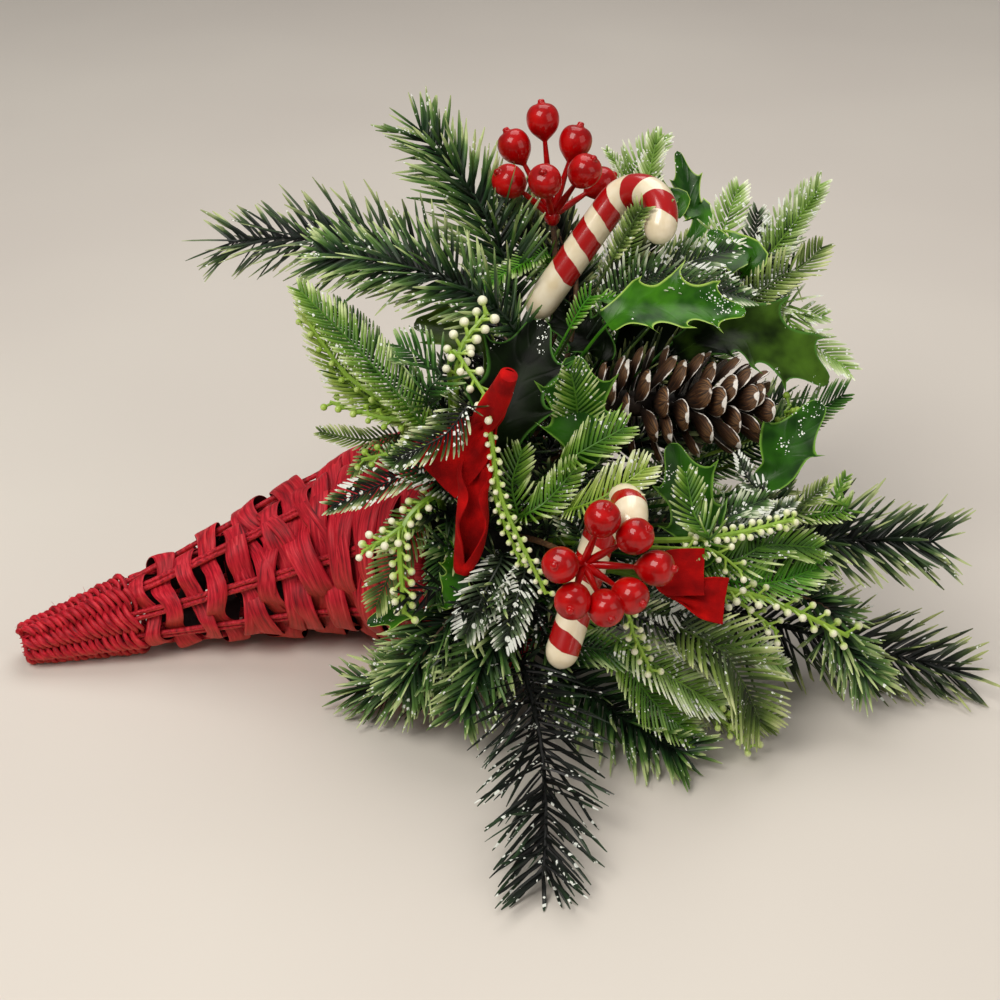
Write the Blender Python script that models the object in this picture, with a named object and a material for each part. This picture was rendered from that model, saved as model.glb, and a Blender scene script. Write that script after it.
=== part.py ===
"""Horn basket of dyed wicker, lying on its side and filled with winter greenery.

Frame: metres, +Z up. The origin is the middle of the small flat under the mouth hoop, on which the
basket stands. The tail lies towards -X and the side made to be seen faces -Y. Every pick is pushed
into the foam crown at the mouth, so each is placed by its direction from the middle of that crown.
"""

import math

import bmesh
import bpy
import numpy as np

# Clearances between pieces that touch. Lengths here are in metres and angles in degrees.
SEAT_GAP = 0.0003
WEAVE_GAP = 0.0005
WINDING_GAP = 0.0006
FOAM_GAP = 0.0006
TABLE_GAP = 0.0002

# Horn
HORN_LENGTH = 0.212
MOUTH_RADIUS = 0.052
TAIL_RADIUS = 0.0051
FLARE_POWER = 1.17
TAIL_HEADING = -14.0
MOUTH_HEADING = 30.0
BEND_START_SHARE = 0.50

# Wicker
ROUND_REED = 0.0022
FLAT_REED_WIDTH = 0.00635
FLAT_REED_THICKNESS = 0.0010
WEAVER_SQUEEZE_SHARE = 0.84
STAKE_COUNT = 8
STAKE_TURN = -20.0
STAKE_PINCH_SHARE = 0.80
WEAVER_COUNT = 16
WEAVER_START_SHARE = 0.268
WEAVER_END_SHARE = 0.980
WINDING_TURNS = 16
WINDING_END_SHARE = 0.236
HOOP_DIAMETER = 0.0052
RESTING_FLAT_DEPTH = 0.0005

# Foam crown
FOAM_CROWN_HEIGHT = 0.036
FOAM_DEPTH_SHARE = 0.12

# Picks
TAPED_STEM = 0.0026
PICK_WIRE = 0.0020
PINE_LENGTH = 0.130
PINE_NEEDLE = 0.029
FERN_LENGTH = 0.110
FERN_WIDTH = 0.034
FERN_STEM = 0.0016
HOLLY_LENGTH = 0.100
HOLLY_WIDTH = 0.030
HOLLY_THICKNESS = 0.0012
SPRIG_LENGTH = 0.090
SPRIG_STEM = 0.0014
BEAD_DIAMETER = 0.0030
BEAD_STALK = 0.0060

# Lacquered berries
BERRY_DIAMETER = 0.0135
BERRY_LENGTH = 0.0165
BERRY_STALK = 0.0018
BERRY_HUB = 0.0070
BERRY_REACH = 0.0340

# Candy canes
CANE_DIAMETER = 0.0130
CANE_STRAIGHT = 0.0560
CANE_HOOK_RADIUS = 0.0125

# Velvet ribbon
RIBBON_WIDTH = 0.0220
RIBBON_THICKNESS = 0.0010

# Pinecone
CONE_LENGTH = 0.070
CONE_DIAMETER = 0.050
CONE_CORE_SHARE = 0.42

# Directions: up, and the side of the room that the picks' faces are turned to
UP = np.array([0.0, 0.0, 1.0])
FACING = np.array([0.0, -0.5, 0.87])

# Shapes of the pieces, as shares of the sizes above, with angles in degrees
FOAM_RINGS = 4
DOME_RINGS = 8
PICK_BARE_STEPS = 2
FROND_BARE_STEPS = 3
STEM_TAPER_SHARE = 0.5
FROND_TAPER_SHARE = 0.4
NEEDLE_LEAN_AT_ROOT = 58.0
NEEDLE_LEAN_AT_TIP = 32.0
NEEDLE_TAPER_SHARE = 0.25
NEEDLE_TIP_SHARE = 0.7
NEEDLE_TURN = 28.6
LEAFLET_SLANT_SHARE = 0.75
LEAFLET_REACH_SHARE = 1.25
FROND_TIP_SHARE = 0.2
FROND_SWELL_SHARES = (0.25, 0.97)
PETIOLE_SHARE = 0.22
SPINE_REACH_SHARE = 1.15
HOLLOW_REACH_SHARE = 0.78
SPINE_FORWARD_SHARE = 0.22
BLADE_FOLD_SHARE = 0.22
BLADE_SWELL_SHARES = (0.04, 0.97)
BLADE_SWELL_POWER = 0.7
BEAD_SLANT_SHARE = 0.8
BEAD_STALK_SHARE = 0.3
BEAD_LEANS = (50.0, 90.0, 130.0)
HUB_LEANS = (150.0, 110.0, 70.0, 30.0)
HUB_SEAT_SHARE = 0.36
CANE_TURNS = (25.0, 50.0, 75.0, 100.0, 125.0, 150.0, 175.0, 200.0)
CANE_END_SHARES = ((-0.95, 0.30), (-0.60, 0.80))
CONE_ROWS = 9
CONE_SIDES = 8
CONE_BODY_SHARE = 0.86
CONE_SEAT_SHARE = 0.10
CONE_SWELL_SHARES = (0.18, 0.90)
CONE_SWELL_POWER = 0.8
CONE_CLAIM_SHARE = 0.95
SCALE_LEAN_AT_BUTT = 62.0
SCALE_LEAN_AT_TIP = 32.0
SCALE_WIDTH_SHARE = 0.30
SCALE_THICKNESS_SHARE = 0.10
RIBBON_CLEAR_SHARE = 0.35
RIBBON_GIRTH_SHARE = 0.6
BERRY_CENTRE_SHARE = 0.35
RIM_START_SHARE = 0.84

# Stations along a stake, closer where the horn bends
STAKE_STATION_SHARES = (0.0, 0.06, 0.12, 0.19, 0.26, 0.36, 0.46, 0.54, 0.61, 0.68, 0.74, 0.80, 0.86, 0.91,
                        0.96, 1.0)
# Berry outline: place along the berry and width, as shares, from stalk to nub
BERRY_PROFILE_SHARES = ((0.10, 0.55), (0.32, 0.97), (0.58, 0.94), (0.84, 0.52), (1.0, 0.16))
# Berries round a hub: clock angle, lean from the stem, and reach as a share
BERRY_DIRECTIONS = ((0, 6, 1.12), (40, 62, 0.98), (100, 70, 0.92), (160, 64, 0.96),
                    (215, 68, 1.0), (275, 60, 0.95), (325, 74, 1.0))
# A bow's run of ribbon in widths: along the loop, outwards, and the width there as a share
RIBBON_RUN_SHARES = ((-1.75, 0.05, 0.95), (-1.20, 0.22, 0.90), (-0.60, 0.12, 0.70), (-0.10, 0.10, 0.42),
                     (0.35, 0.42, 0.62), (0.85, 0.62, 0.85), (1.25, 0.45, 0.92), (1.35, 0.15, 0.92),
                     (1.05, -0.08, 0.85), (0.50, -0.12, 0.62), (0.05, -0.10, 0.42), (-0.45, -0.22, 0.75),
                     (-1.00, -0.30, 1.00))

# Where the picks stand: root clock and lean, tip clock and lean, length share and bow share
PINE_SHARES = {
    "pine_spray_left_long": ((4, 62), (356, 117), 0.87, 0.75),
    "pine_spray_left_short": ((3, 50), (349, 94), 0.72, 0.85),
    "pine_spray_top": ((19, 62), (14, 90), 0.99, 0.60),
    "pine_spray_front": ((240, 46), (242, 56), 0.95, 0.50),
    "pine_spray_front_left": ((252, 60), (239, 105), 0.20, 1.15),
    "pine_spray_front_right": ((208, 45), (208, 36), 0.66, 0.50),
    "pine_spray_right_upper": ((112, 22), (112, 18), 1.16, 0.50),
    "pine_spray_right_lower": ((142, 34), (142, 32), 1.32, 0.50),
    "pine_spray_back": ((110, 60), (111, 80), 0.73, 0.50),
}
FERN_SHARES = {
    "fern_left": ((324, 61), (339, 93), 0.80, 0.50),
    "fern_over_rim": ((312, 51), (317, 75), 0.38, 0.50),
    "fern_centre": ((354, 24), (349, 45), 0.60, 0.50),
    "fern_top": ((46, 61), (37, 67), 1.22, 0.50),
    "fern_top_right": ((74, 61), (45, 48), 1.42, 0.50),
    "fern_right": ((94, 42), (67, 29), 1.09, 0.50),
    "fern_front_right": ((182, 39), (178, 32), 0.90, 0.50),
}
HOLLY_SHARES = {
    "holly_leaf_dark": ((350, 38), (358, 67), 0.38, 0.50),
    "holly_leaf_bright": ((60, 61), (38, 41), 1.03, 0.50),
    "holly_leaf_back": ((89, 60), (73, 37), 1.14, 0.50),
    "holly_leaf_centre": ((12, 37), (2, 50), 0.54, 0.50),
    "holly_leaf_right": ((50, 17), (14, 21), 0.58, 0.50),
    "holly_leaf_front_left": ((276, 61), (274, 84), 0.34, 0.50),
}
SPRIG_SHARES = {
    "berry_sprig_top": ((15, 50), (9, 73), 0.55, 0.50),
    "berry_sprig_left": ((291, 52), (274, 74), 0.28, 0.50),
    "berry_sprig_right": ((96, 30), (101, 19), 0.96, 0.50),
    "berry_sprig_front_right": ((162, 24), (152, 21), 1.23, 0.50),
}
BERRY_SHARES = {
    "red_berries_top": ((32, 61), (25, 72), 2.64, 0.50),
    "red_berries_front": ((301, 33), (297, 33), 1.70, 0.50),
}
# Canes: root, then where the foot and the top of the straight are, in clock, lean and lengths beyond
CANE_SHARES = {
    "candy_cane_top": ((27, 50), (21, 66, 0.99), (25, 62, 1.90)),
    "candy_cane_front": ((285, 14), (253, 38, 0.84), (320, 24, 0.78)),
}
# Ribbons: root, the knot in clock, lean and widths beyond, where the loop points, and size
RIBBON_SHARES = {
    "ribbon_left": ((332, 45), (329, 57, 2.0), (342, 55), 1.0),
    "ribbon_right": ((225, 8), (245, 11, 3.2), (200, 12), 0.62),
}
CONE_ROOT = (31, 38)
CONE_BUTT_SHARE = (27, 41, 0.51)
CONE_TIP_SHARE = (58, 28, 1.31)

# Distances that follow from the reeds
UNDERSIDE = ROUND_REED * 1.5 + WINDING_GAP
HOOP_STANDOFF = HOOP_DIAMETER / 2 + SEAT_GAP
WEAVER_LIFT = (ROUND_REED + FLAT_REED_THICKNESS) / 2 + WEAVE_GAP
INNER_WALL = WEAVER_LIFT + FLAT_REED_THICKNESS / 2 + FOAM_GAP
STAKE_PITCH = 2.0 * math.pi / STAKE_COUNT


def unit(vector):
    """A vector, or each row of a list of them, at length one."""
    return vector / np.linalg.norm(vector, axis=-1, keepdims=True)


def smooth_step(share):
    """Zero below 0, one above 1, with level ends between."""
    share = np.clip(share, 0.0, 1.0)
    return share * share * (3.0 - 2.0 * share)


def half_sine(share, ends):
    """A swelling from one share of a half wave, at 0, to another, at 1."""
    start, end = ends
    return np.sin(np.pi * (start + (end - start) * share))


def horn_radius(share):
    """Radius of the circle that the stakes stand on, from tail 0 to mouth 1."""
    return TAIL_RADIUS + (MOUTH_RADIUS - TAIL_RADIUS) * share ** FLARE_POWER


class Horn:
    """The horn's bent centre line. Its underside is a straight line on the table at z = 0."""

    def __init__(self, stations=401):
        self.share = np.linspace(0.0, 1.0, stations)
        turn = smooth_step((self.share - BEND_START_SHARE) / (1.0 - BEND_START_SHARE))
        heading = np.radians(TAIL_HEADING + (MOUTH_HEADING - TAIL_HEADING) * turn)
        self.radius = horn_radius(self.share)
        under = self.radius + UNDERSIDE
        slope = np.arctan(np.gradient(under, self.share * HORN_LENGTH))
        level = np.stack([np.cos(heading), -np.sin(heading), 0.0 * heading], axis=1)
        self.along = level * np.cos(slope)[:, None] + UP * np.sin(slope)[:, None]
        self.up = unit(UP - self.along * self.along[:, 2:3])
        self.side = np.cross(self.up, self.along)
        step = HORN_LENGTH / (stations - 1)
        middle = 0.5 * (self.along[1:] + self.along[:-1]) * step
        self.centre = np.concatenate([np.zeros((1, 3)), np.cumsum(middle, axis=0)])
        self.centre[:, 2] = under * np.cos(slope)
        self.slope_at_mouth = slope[-1]
        hoop_point = self.centre[-1] + self.along[-1] * HOOP_STANDOFF
        self.centre[:, :2] -= (hoop_point - self.up[-1] * hoop_radius(self))[:2]

    def at(self, share):
        """Centre, direction, up, side and stake radius at a share of the length."""
        pick = [np.array([np.interp(share, self.share, track[:, axis]) for axis in range(3)])
                for track in (self.centre, self.along, self.up, self.side)]
        centre, along, up, side = pick
        return centre, unit(along), unit(up), unit(side), float(np.interp(share, self.share, self.radius))

    def wall(self, share, angle, lift=0.0):
        """A point on the stakes' surface, its outward normal and its direction up the wall."""
        centre, along, up, side, radius = self.at(share)
        outward = up * math.cos(angle) + side * math.sin(angle)
        point = centre + outward * radius
        step = 0.5 / len(self.share)
        ahead_centre, _, ahead_up, ahead_side, ahead_radius = self.at(min(share + step, 1.0))
        back_centre, _, back_up, back_side, back_radius = self.at(share - step)
        ahead = ahead_centre + (ahead_up * math.cos(angle) + ahead_side * math.sin(angle)) * ahead_radius
        back = back_centre + (back_up * math.cos(angle) + back_side * math.sin(angle)) * back_radius
        rise = unit(ahead - back)
        around = unit(np.cross(outward, rise))
        normal = np.cross(rise, around)
        return point + normal * lift, normal, rise, around


def hoop_radius(horn):
    """The hoop's centre line hangs just low enough for its flat to be cut at z = 0."""
    lift = HOOP_STANDOFF * math.sin(horn.slope_at_mouth)
    drop = (HOOP_DIAMETER / 2 - RESTING_FLAT_DEPTH - lift) / math.cos(horn.slope_at_mouth)
    return MOUTH_RADIUS + UNDERSIDE - drop


class Crown:
    """The foam's domed front: a ball cap whose middle every pick points back to."""

    def __init__(self, horn):
        mouth, self.axis, self.up, self.side, radius = horn.at(1.0)
        rim = radius - INNER_WALL
        self.radius = (rim ** 2 + FOAM_CROWN_HEIGHT ** 2) / (2.0 * FOAM_CROWN_HEIGHT)
        self.middle = mouth - self.axis * (self.radius - FOAM_CROWN_HEIGHT)

    def direction(self, clock, lean):
        """A direction by its clock angle round the mouth's axis and its lean from that axis."""
        clock, lean = math.radians(clock), math.radians(lean)
        across = self.up * math.cos(clock) + self.side * math.sin(clock)
        return self.axis * math.cos(lean) + across * math.sin(lean)

    def point(self, clock, lean, beyond):
        """A point at a distance beyond the foam's surface."""
        return self.middle + self.direction(clock, lean) * (self.radius + beyond)

    def path_to(self, root, end, count, bow_share=0.5):
        """A stem that leaves the foam squarely and bows over to a point, as a curve's points."""
        start = self.point(*root, SEAT_GAP)
        reach = np.linalg.norm(end - self.middle) - self.radius
        bow = self.point(*root, max(reach, SEAT_GAP) * bow_share)
        share = np.linspace(0.0, 1.0, count)[:, None]
        return start * (1 - share) ** 2 + bow * 2 * share * (1 - share) + end * share ** 2

    def path(self, root, tip, beyond, count, bow_share=0.5):
        """A stem from its root to a tip at a distance beyond the foam."""
        return self.path_to(root, self.point(*tip, beyond), count, bow_share)


def material(name, colour, roughness, metallic=0.0):
    """A plain surface with the piece's own colour."""
    made = bpy.data.materials.new(name)
    made.use_nodes = True
    shader = made.node_tree.nodes["Principled BSDF"]
    shader.inputs["Base Color"].default_value = (*colour, 1.0)
    shader.inputs["Roughness"].default_value = roughness
    shader.inputs["Metallic"].default_value = metallic
    made.diffuse_color = (*colour, 1.0)
    return made


def add_object(name, points, faces, surface, hidden=False):
    """One named object from points and faces, with all faces turned outwards."""
    mesh = bpy.data.meshes.new(name)
    mesh.from_pydata([tuple(point) for point in points], [], [tuple(face) for face in faces])
    shape = bmesh.new()
    shape.from_mesh(mesh)
    bmesh.ops.recalc_face_normals(shape, faces=shape.faces)
    if shape.calc_volume(signed=True) < 0.0:
        bmesh.ops.reverse_faces(shape, faces=shape.faces)
    shape.to_mesh(mesh)
    shape.free()
    mesh.materials.append(surface)
    made = bpy.data.objects.new(name, mesh)
    bpy.context.collection.objects.link(made)
    if hidden:
        made.hide_render = True
        made.display_type = "WIRE"
    return made


def join_to(base, others):
    """Fuses tools into a base with Boolean unions."""
    for other in others:
        union = base.modifiers.new("join_" + other.name, "BOOLEAN")
        union.operation = "UNION"
        union.object = other


class Skin:
    """One closed surface: a stem of rings whose sides can be pushed out into smaller shapes."""

    def __init__(self):
        self.points = []
        self.faces = []

    def add_ring(self, ring):
        """Adds a ring of points and returns their numbers."""
        first = len(self.points)
        self.points.extend(ring)
        return list(range(first, first + len(ring)))

    def bridge(self, ring, following, kept=()):
        """Closes the band between two rings, but for the kept sides, which it returns as quads."""
        count = len(ring)
        opened = {}
        for side in range(count):
            after = (side + 1) % count
            quad = (ring[side], ring[after], following[after], following[side])
            if side in kept:
                opened[side] = quad
            else:
                self.faces.append(quad)
        return opened

    def spike(self, quad, tip):
        """Draws a side out to a point."""
        apex = self.add_ring([tip])[0]
        for side in range(len(quad)):
            self.faces.append((quad[side], quad[(side + 1) % len(quad)], apex))

    def tube(self, rings, closed=False, start=None):
        """A plain run of rings, joined in a loop or capped at both ends."""
        numbers = [self.add_ring(ring) for ring in rings]
        if start is not None:
            numbers.insert(0, list(start))
        for ring, following in zip(numbers, numbers[1:]):
            self.bridge(ring, following)
        if closed:
            self.bridge(numbers[-1], numbers[0])
        else:
            if start is None:
                self.faces.append(numbers[0])
            self.faces.append(numbers[-1])
        return numbers


def path_frames(points, facing):
    """Direction, over and across vectors at each point of a path, for one facing direction."""
    along = unit(np.gradient(points, axis=0))
    chord = unit(points[-1] - points[0])
    if abs(chord @ unit(facing)) > 0.9:
        facing = UP
    over = unit(facing - along * (along @ facing)[:, None])
    across = np.cross(along, over)
    return along, over, across


def round_rings(points, radii, sides, over, across, turn=0.0):
    """Rings of a round section along a path, each a turn further round than the last."""
    rings = []
    for number, (point, radius) in enumerate(zip(points, radii)):
        angle = np.arange(sides) * 2.0 * math.pi / sides + turn * number
        rings.append(point + radius * (np.cos(angle)[:, None] * across[number]
                                       + np.sin(angle)[:, None] * over[number]))
    return rings


def square_rings(points, half_widths, half_heights, over, across):
    """Rings of a flat four-cornered section. Side 1 faces left and side 3 faces right."""
    corners = ((1, 1), (-1, 1), (-1, -1), (1, -1))
    return [np.array([point + across[number] * wide * right + over[number] * high * top
                      for right, top in corners])
            for number, (point, wide, high) in enumerate(zip(points, half_widths, half_heights))]


class Claims:
    """The space that each pick keeps, so that leaves shorten where a neighbour stands close."""

    def __init__(self):
        self.entries = []

    def add(self, name, points, radii, solid):
        """Claims balls along a path. A solid's claim is fixed, and leafy neighbours share a gap."""
        self.entries.append((name, np.atleast_2d(points), np.broadcast_to(radii, len(points)), solid))

    def room(self, name, point):
        """The reach that a piece has at a point before it meets what others claim."""
        reach = math.inf
        for owner, points, radii, solid in self.entries:
            if owner == name:
                continue
            gap = float((np.linalg.norm(points - point, axis=1) - radii).min())
            reach = min(reach, gap - SEAT_GAP if solid else gap / 2.0 - SEAT_GAP)
        return max(reach, 0.0)


def above_table(start, direction, length):
    """The length at which a straight piece still clears the table."""
    if direction[2] >= 0.0:
        return length
    return min(length, max((start[2] - TABLE_GAP) / -direction[2], 0.0))


def stake_width(radius):
    """Half the width of a doubled reed, pinched where the tail leaves it less room."""
    return min(ROUND_REED, STAKE_PINCH_SHARE * math.pi * radius / STAKE_COUNT)


def make_stake(horn, number, surface):
    """A doubled round reed from the tail to the hoop, with a waist between its two reeds."""
    angle = math.radians(STAKE_TURN) + number * STAKE_PITCH
    rings = []
    for share in STAKE_STATION_SHARES:
        point, normal, _, around = horn.wall(share, angle)
        half = stake_width(horn.at(share)[4])
        thick = ROUND_REED / 2
        outline = ((half, 0), (half / 2, thick), (0, thick / 2), (-half / 2, thick),
                   (-half, 0), (-half / 2, -thick), (0, -thick / 2), (half / 2, -thick))
        rings.append(np.array([point + around * wide + normal * high for wide, high in outline]))
    skin = Skin()
    skin.tube(rings)
    return add_object(f"stake_{number + 1}", skin.points, skin.faces, surface)


def make_weaver(horn, row, surface):
    """A flat reed that passes outside one stake and inside the next, all the way round."""
    pitch = (WEAVER_END_SHARE - WEAVER_START_SHARE) / (WEAVER_COUNT - 1)
    share = WEAVER_START_SHARE + row * pitch
    rings = []
    for number in range(STAKE_COUNT):
        angle = math.radians(STAKE_TURN) + number * STAKE_PITCH
        outside = 1.0 if (number + row) % 2 == 0 else -1.0
        point, normal, rise, around = horn.wall(share, angle, outside * WEAVER_LIFT)
        reach = stake_width(horn.at(share)[4]) + SEAT_GAP
        stations = [(point - around * reach, normal, rise), (point + around * reach, normal, rise)]
        middle, normal, rise, _ = horn.wall(share, angle + STAKE_PITCH / 2)
        stations.append((middle, normal, rise))
        for place, out, up in stations:
            turn = angle + (STAKE_PITCH / 2 if place is middle else 0.0)
            half_step = min(FLAT_REED_WIDTH, row_pitch(horn, share, pitch, turn) * WEAVER_SQUEEZE_SHARE) / 2
            rings.append(np.array([place + up * half_step * high + out * FLAT_REED_THICKNESS / 2 * deep
                                   for high, deep in ((1, 1), (-1, 1), (-1, -1), (1, -1))]))
    skin = Skin()
    skin.tube(rings, closed=True)
    return add_object(f"weaver_row_{row + 1:02d}", skin.points, skin.faces, surface)


def row_pitch(horn, share, pitch, angle):
    """The distance to the next row along the wall, less on the inner side of the bend."""
    below = horn.wall(share - pitch / 2, angle)[0]
    above = horn.wall(min(share + pitch / 2, 1.0), angle)[0]
    span = min(share + pitch / 2, 1.0) - (share - pitch / 2)
    return float(np.linalg.norm(above - below)) * pitch / span


def make_tail_winding(horn, surface):
    """A round reed wound closely over the stakes at the tail, in one unbroken run."""
    points_per_turn = 2 * STAKE_COUNT
    count = WINDING_TURNS * points_per_turn + 1
    lift = ROUND_REED + WINDING_GAP
    start = ROUND_REED / HORN_LENGTH
    rings = []
    line = []
    for number in range(count):
        angle = math.radians(STAKE_TURN) + number * 2.0 * math.pi / points_per_turn
        share = start + (WINDING_END_SHARE - start) * number / (count - 1)
        point, normal, rise, around = horn.wall(share, angle, lift)
        line.append(point)
        rings.append(np.array([point + ROUND_REED / 2 * (rise * high + normal * out)
                               for high, out in ((1, 0), (0, 1), (-1, 0), (0, -1))]))
    line = np.array(line)
    gaps = np.linalg.norm(line[points_per_turn:] - line[:-points_per_turn], axis=1) - ROUND_REED
    print(f"least gap between the tail winding's turns: {gaps.min() * 1000:.2f} mm")
    skin = Skin()
    skin.tube(rings)
    return add_object("tail_winding", skin.points, skin.faces, surface)


def make_mouth_hoop(horn, surface):
    """A round hoop at the mouth, cut flat underneath where the basket stands on it."""
    centre, along, up, side, _ = horn.at(1.0)
    centre = centre + along * HOOP_STANDOFF
    ring_count, sides = 32, 8
    rings = []
    for number in range(ring_count):
        angle = number * 2.0 * math.pi / ring_count
        outward = up * math.cos(angle) + side * math.sin(angle)
        turn = np.arange(sides) * 2.0 * math.pi / sides
        rings.append(centre + outward * hoop_radius(horn) + HOOP_DIAMETER / 2
                     * (np.cos(turn)[:, None] * outward + np.sin(turn)[:, None] * along))
    skin = Skin()
    skin.tube(rings, closed=True)
    made = add_object("mouth_hoop", skin.points, skin.faces, surface)
    shape = bmesh.new()
    shape.from_mesh(made.data)
    everything = list(shape.verts) + list(shape.edges) + list(shape.faces)
    cut = bmesh.ops.bisect_plane(shape, geom=everything, plane_co=(0, 0, 0), plane_no=(0, 0, -1),
                                 clear_outer=True)
    edges = [item for item in cut["geom_cut"] if isinstance(item, bmesh.types.BMEdge)]
    bmesh.ops.contextual_create(shape, geom=edges)
    bmesh.ops.recalc_face_normals(shape, faces=shape.faces)
    shape.to_mesh(made.data)
    shape.free()
    return made


def make_foam(horn, crown, surface):
    """A block of floral foam that fills the mouth and ends in a dome."""
    sides = 32
    angle = np.arange(sides) * 2.0 * math.pi / sides
    rings = []
    for share in np.linspace(1.0 - FOAM_DEPTH_SHARE, 1.0, FOAM_RINGS):
        centre, _, up, side, radius = horn.at(share)
        rings.append(centre + (radius - INNER_WALL)
                     * (np.cos(angle)[:, None] * up + np.sin(angle)[:, None] * side))
    edge = math.acos((crown.radius - FOAM_CROWN_HEIGHT) / crown.radius)
    for lean in np.linspace(edge, 0.0, DOME_RINGS)[1:-1]:
        rings.append(crown.middle + crown.radius
                     * (crown.axis * math.cos(lean)
                        + math.sin(lean) * (np.cos(angle)[:, None] * crown.up
                                            + np.sin(angle)[:, None] * crown.side)))
    skin = Skin()
    numbers = [skin.add_ring(ring) for ring in rings]
    for ring, following in zip(numbers, numbers[1:]):
        skin.bridge(ring, following)
    skin.faces.append(numbers[0])
    skin.spike(numbers[-1], crown.middle + crown.axis * crown.radius)
    return add_object("floral_foam", skin.points, skin.faces, surface)


def make_pine_spray(name, points, claims, surface):
    """A wire stem with stiff needles all round it, shorter where neighbours stand close."""
    along, over, across = path_frames(points, FACING)
    count = len(points)
    sides = 4
    share = np.linspace(0.0, 1.0, count)
    radii = TAPED_STEM / 2 * (1.0 - STEM_TAPER_SHARE * share)
    skin = Skin()
    numbers = [skin.add_ring(ring) for ring in round_rings(points, radii, sides, over, across,
                                                     math.radians(NEEDLE_TURN))]
    skin.faces.append(numbers[0])
    for step in range(count - 1):
        bare = step < PICK_BARE_STEPS
        opened = skin.bridge(numbers[step], numbers[step + 1], () if bare else range(sides))
        middle = (points[step] + points[step + 1]) / 2
        room = 0.0 if bare else claims.room(name, middle) - TAPED_STEM
        lean = math.radians(NEEDLE_LEAN_AT_ROOT + (NEEDLE_LEAN_AT_TIP - NEEDLE_LEAN_AT_ROOT) * share[step])
        for quad in opened.values():
            seat = np.mean([skin.points[number] for number in quad], axis=0)
            outward = unit(seat - middle)
            direction = along[step] * math.cos(lean) + outward * math.sin(lean)
            length = min(PINE_NEEDLE * (1.0 - NEEDLE_TAPER_SHARE * share[step]), room)
            length = max(above_table(seat, direction, length), TAPED_STEM / 4)
            skin.spike(quad, seat + direction * length)
    reach = min(PINE_NEEDLE * NEEDLE_TIP_SHARE, claims.room(name, points[-1]) - TAPED_STEM)
    reach = max(reach, TAPED_STEM / 2)
    skin.spike(numbers[-1], points[-1] + along[-1] * above_table(points[-1], along[-1], reach))
    return add_object(name, skin.points, skin.faces, surface)


def make_fern(name, points, claims, surface):
    """A flat frond: a stem with pointed leaflets along both edges."""
    along, over, across = path_frames(points, FACING)
    count = len(points)
    share = np.linspace(0.0, 1.0, count)
    half = FERN_STEM / 2 * (1.0 - FROND_TAPER_SHARE * share)
    skin = Skin()
    numbers = [skin.add_ring(ring) for ring in square_rings(points, half, half, over, across)]
    skin.faces.append(numbers[0])
    for step in range(count - 1):
        bare = step < FROND_BARE_STEPS
        opened = skin.bridge(numbers[step], numbers[step + 1], () if bare else (1, 3))
        middle = (points[step] + points[step + 1]) / 2
        room = 0.0 if bare else claims.room(name, middle) - FERN_STEM
        for side, quad in opened.items():
            seat = np.mean([skin.points[number] for number in quad], axis=0)
            outward = across[step] * (-1.0 if side == 1 else 1.0)
            direction = unit(along[step] * LEAFLET_SLANT_SHARE + outward)
            swell = half_sine(share[step], FROND_SWELL_SHARES)
            length = min(FERN_WIDTH / 2 * LEAFLET_REACH_SHARE * swell, room)
            length = max(above_table(seat, direction, length), FERN_STEM / 4)
            skin.spike(quad, seat + direction * length)
    reach = min(FERN_WIDTH * FROND_TIP_SHARE, claims.room(name, points[-1]) - FERN_STEM)
    reach = max(reach, FERN_STEM / 2)
    skin.spike(numbers[-1], points[-1] + along[-1] * above_table(points[-1], along[-1], reach))
    return add_object(name, skin.points, skin.faces, surface)


def make_holly_leaf(name, points, claims, surface):
    """A spiny leaf on a petiole, folded up a little along its midrib."""
    along, over, across = path_frames(points, FACING)
    count = len(points)
    share = np.linspace(0.0, 1.0, count)
    skin = Skin()
    rings = []
    for step in range(count):
        blade = (share[step] - PETIOLE_SHARE) / (1.0 - PETIOLE_SHARE)
        half = PICK_WIRE / 2
        forward = 0.0
        fold = 0.0
        if blade > 0.0:
            full = HOLLY_WIDTH / 2 * half_sine(blade, BLADE_SWELL_SHARES) ** BLADE_SWELL_POWER
            spine = step % 2 == 0
            wanted = full * (SPINE_REACH_SHARE if spine else HOLLOW_REACH_SHARE)
            half = max(min(wanted, claims.room(name, points[step]) - PICK_WIRE), PICK_WIRE / 2)
            forward = half * SPINE_FORWARD_SHARE if spine else 0.0
            fold = half * BLADE_FOLD_SHARE
        thick = HOLLY_THICKNESS / 2 if blade > 0.0 else PICK_WIRE / 2
        point = points[step]
        left = point - across[step] * half + along[step] * forward + over[step] * fold
        right = point + across[step] * half + along[step] * forward + over[step] * fold
        left[2] = max(left[2], TABLE_GAP)
        right[2] = max(right[2], TABLE_GAP)
        rings.append(np.array([right, point + over[step] * thick, left, point - over[step] * thick]))
    numbers = [skin.add_ring(ring) for ring in rings]
    skin.faces.append(numbers[0])
    for ring, following in zip(numbers, numbers[1:]):
        skin.bridge(ring, following)
    skin.spike(numbers[-1], points[-1] + along[-1] * PICK_WIRE)
    return add_object(name, skin.points, skin.faces, surface)


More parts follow.
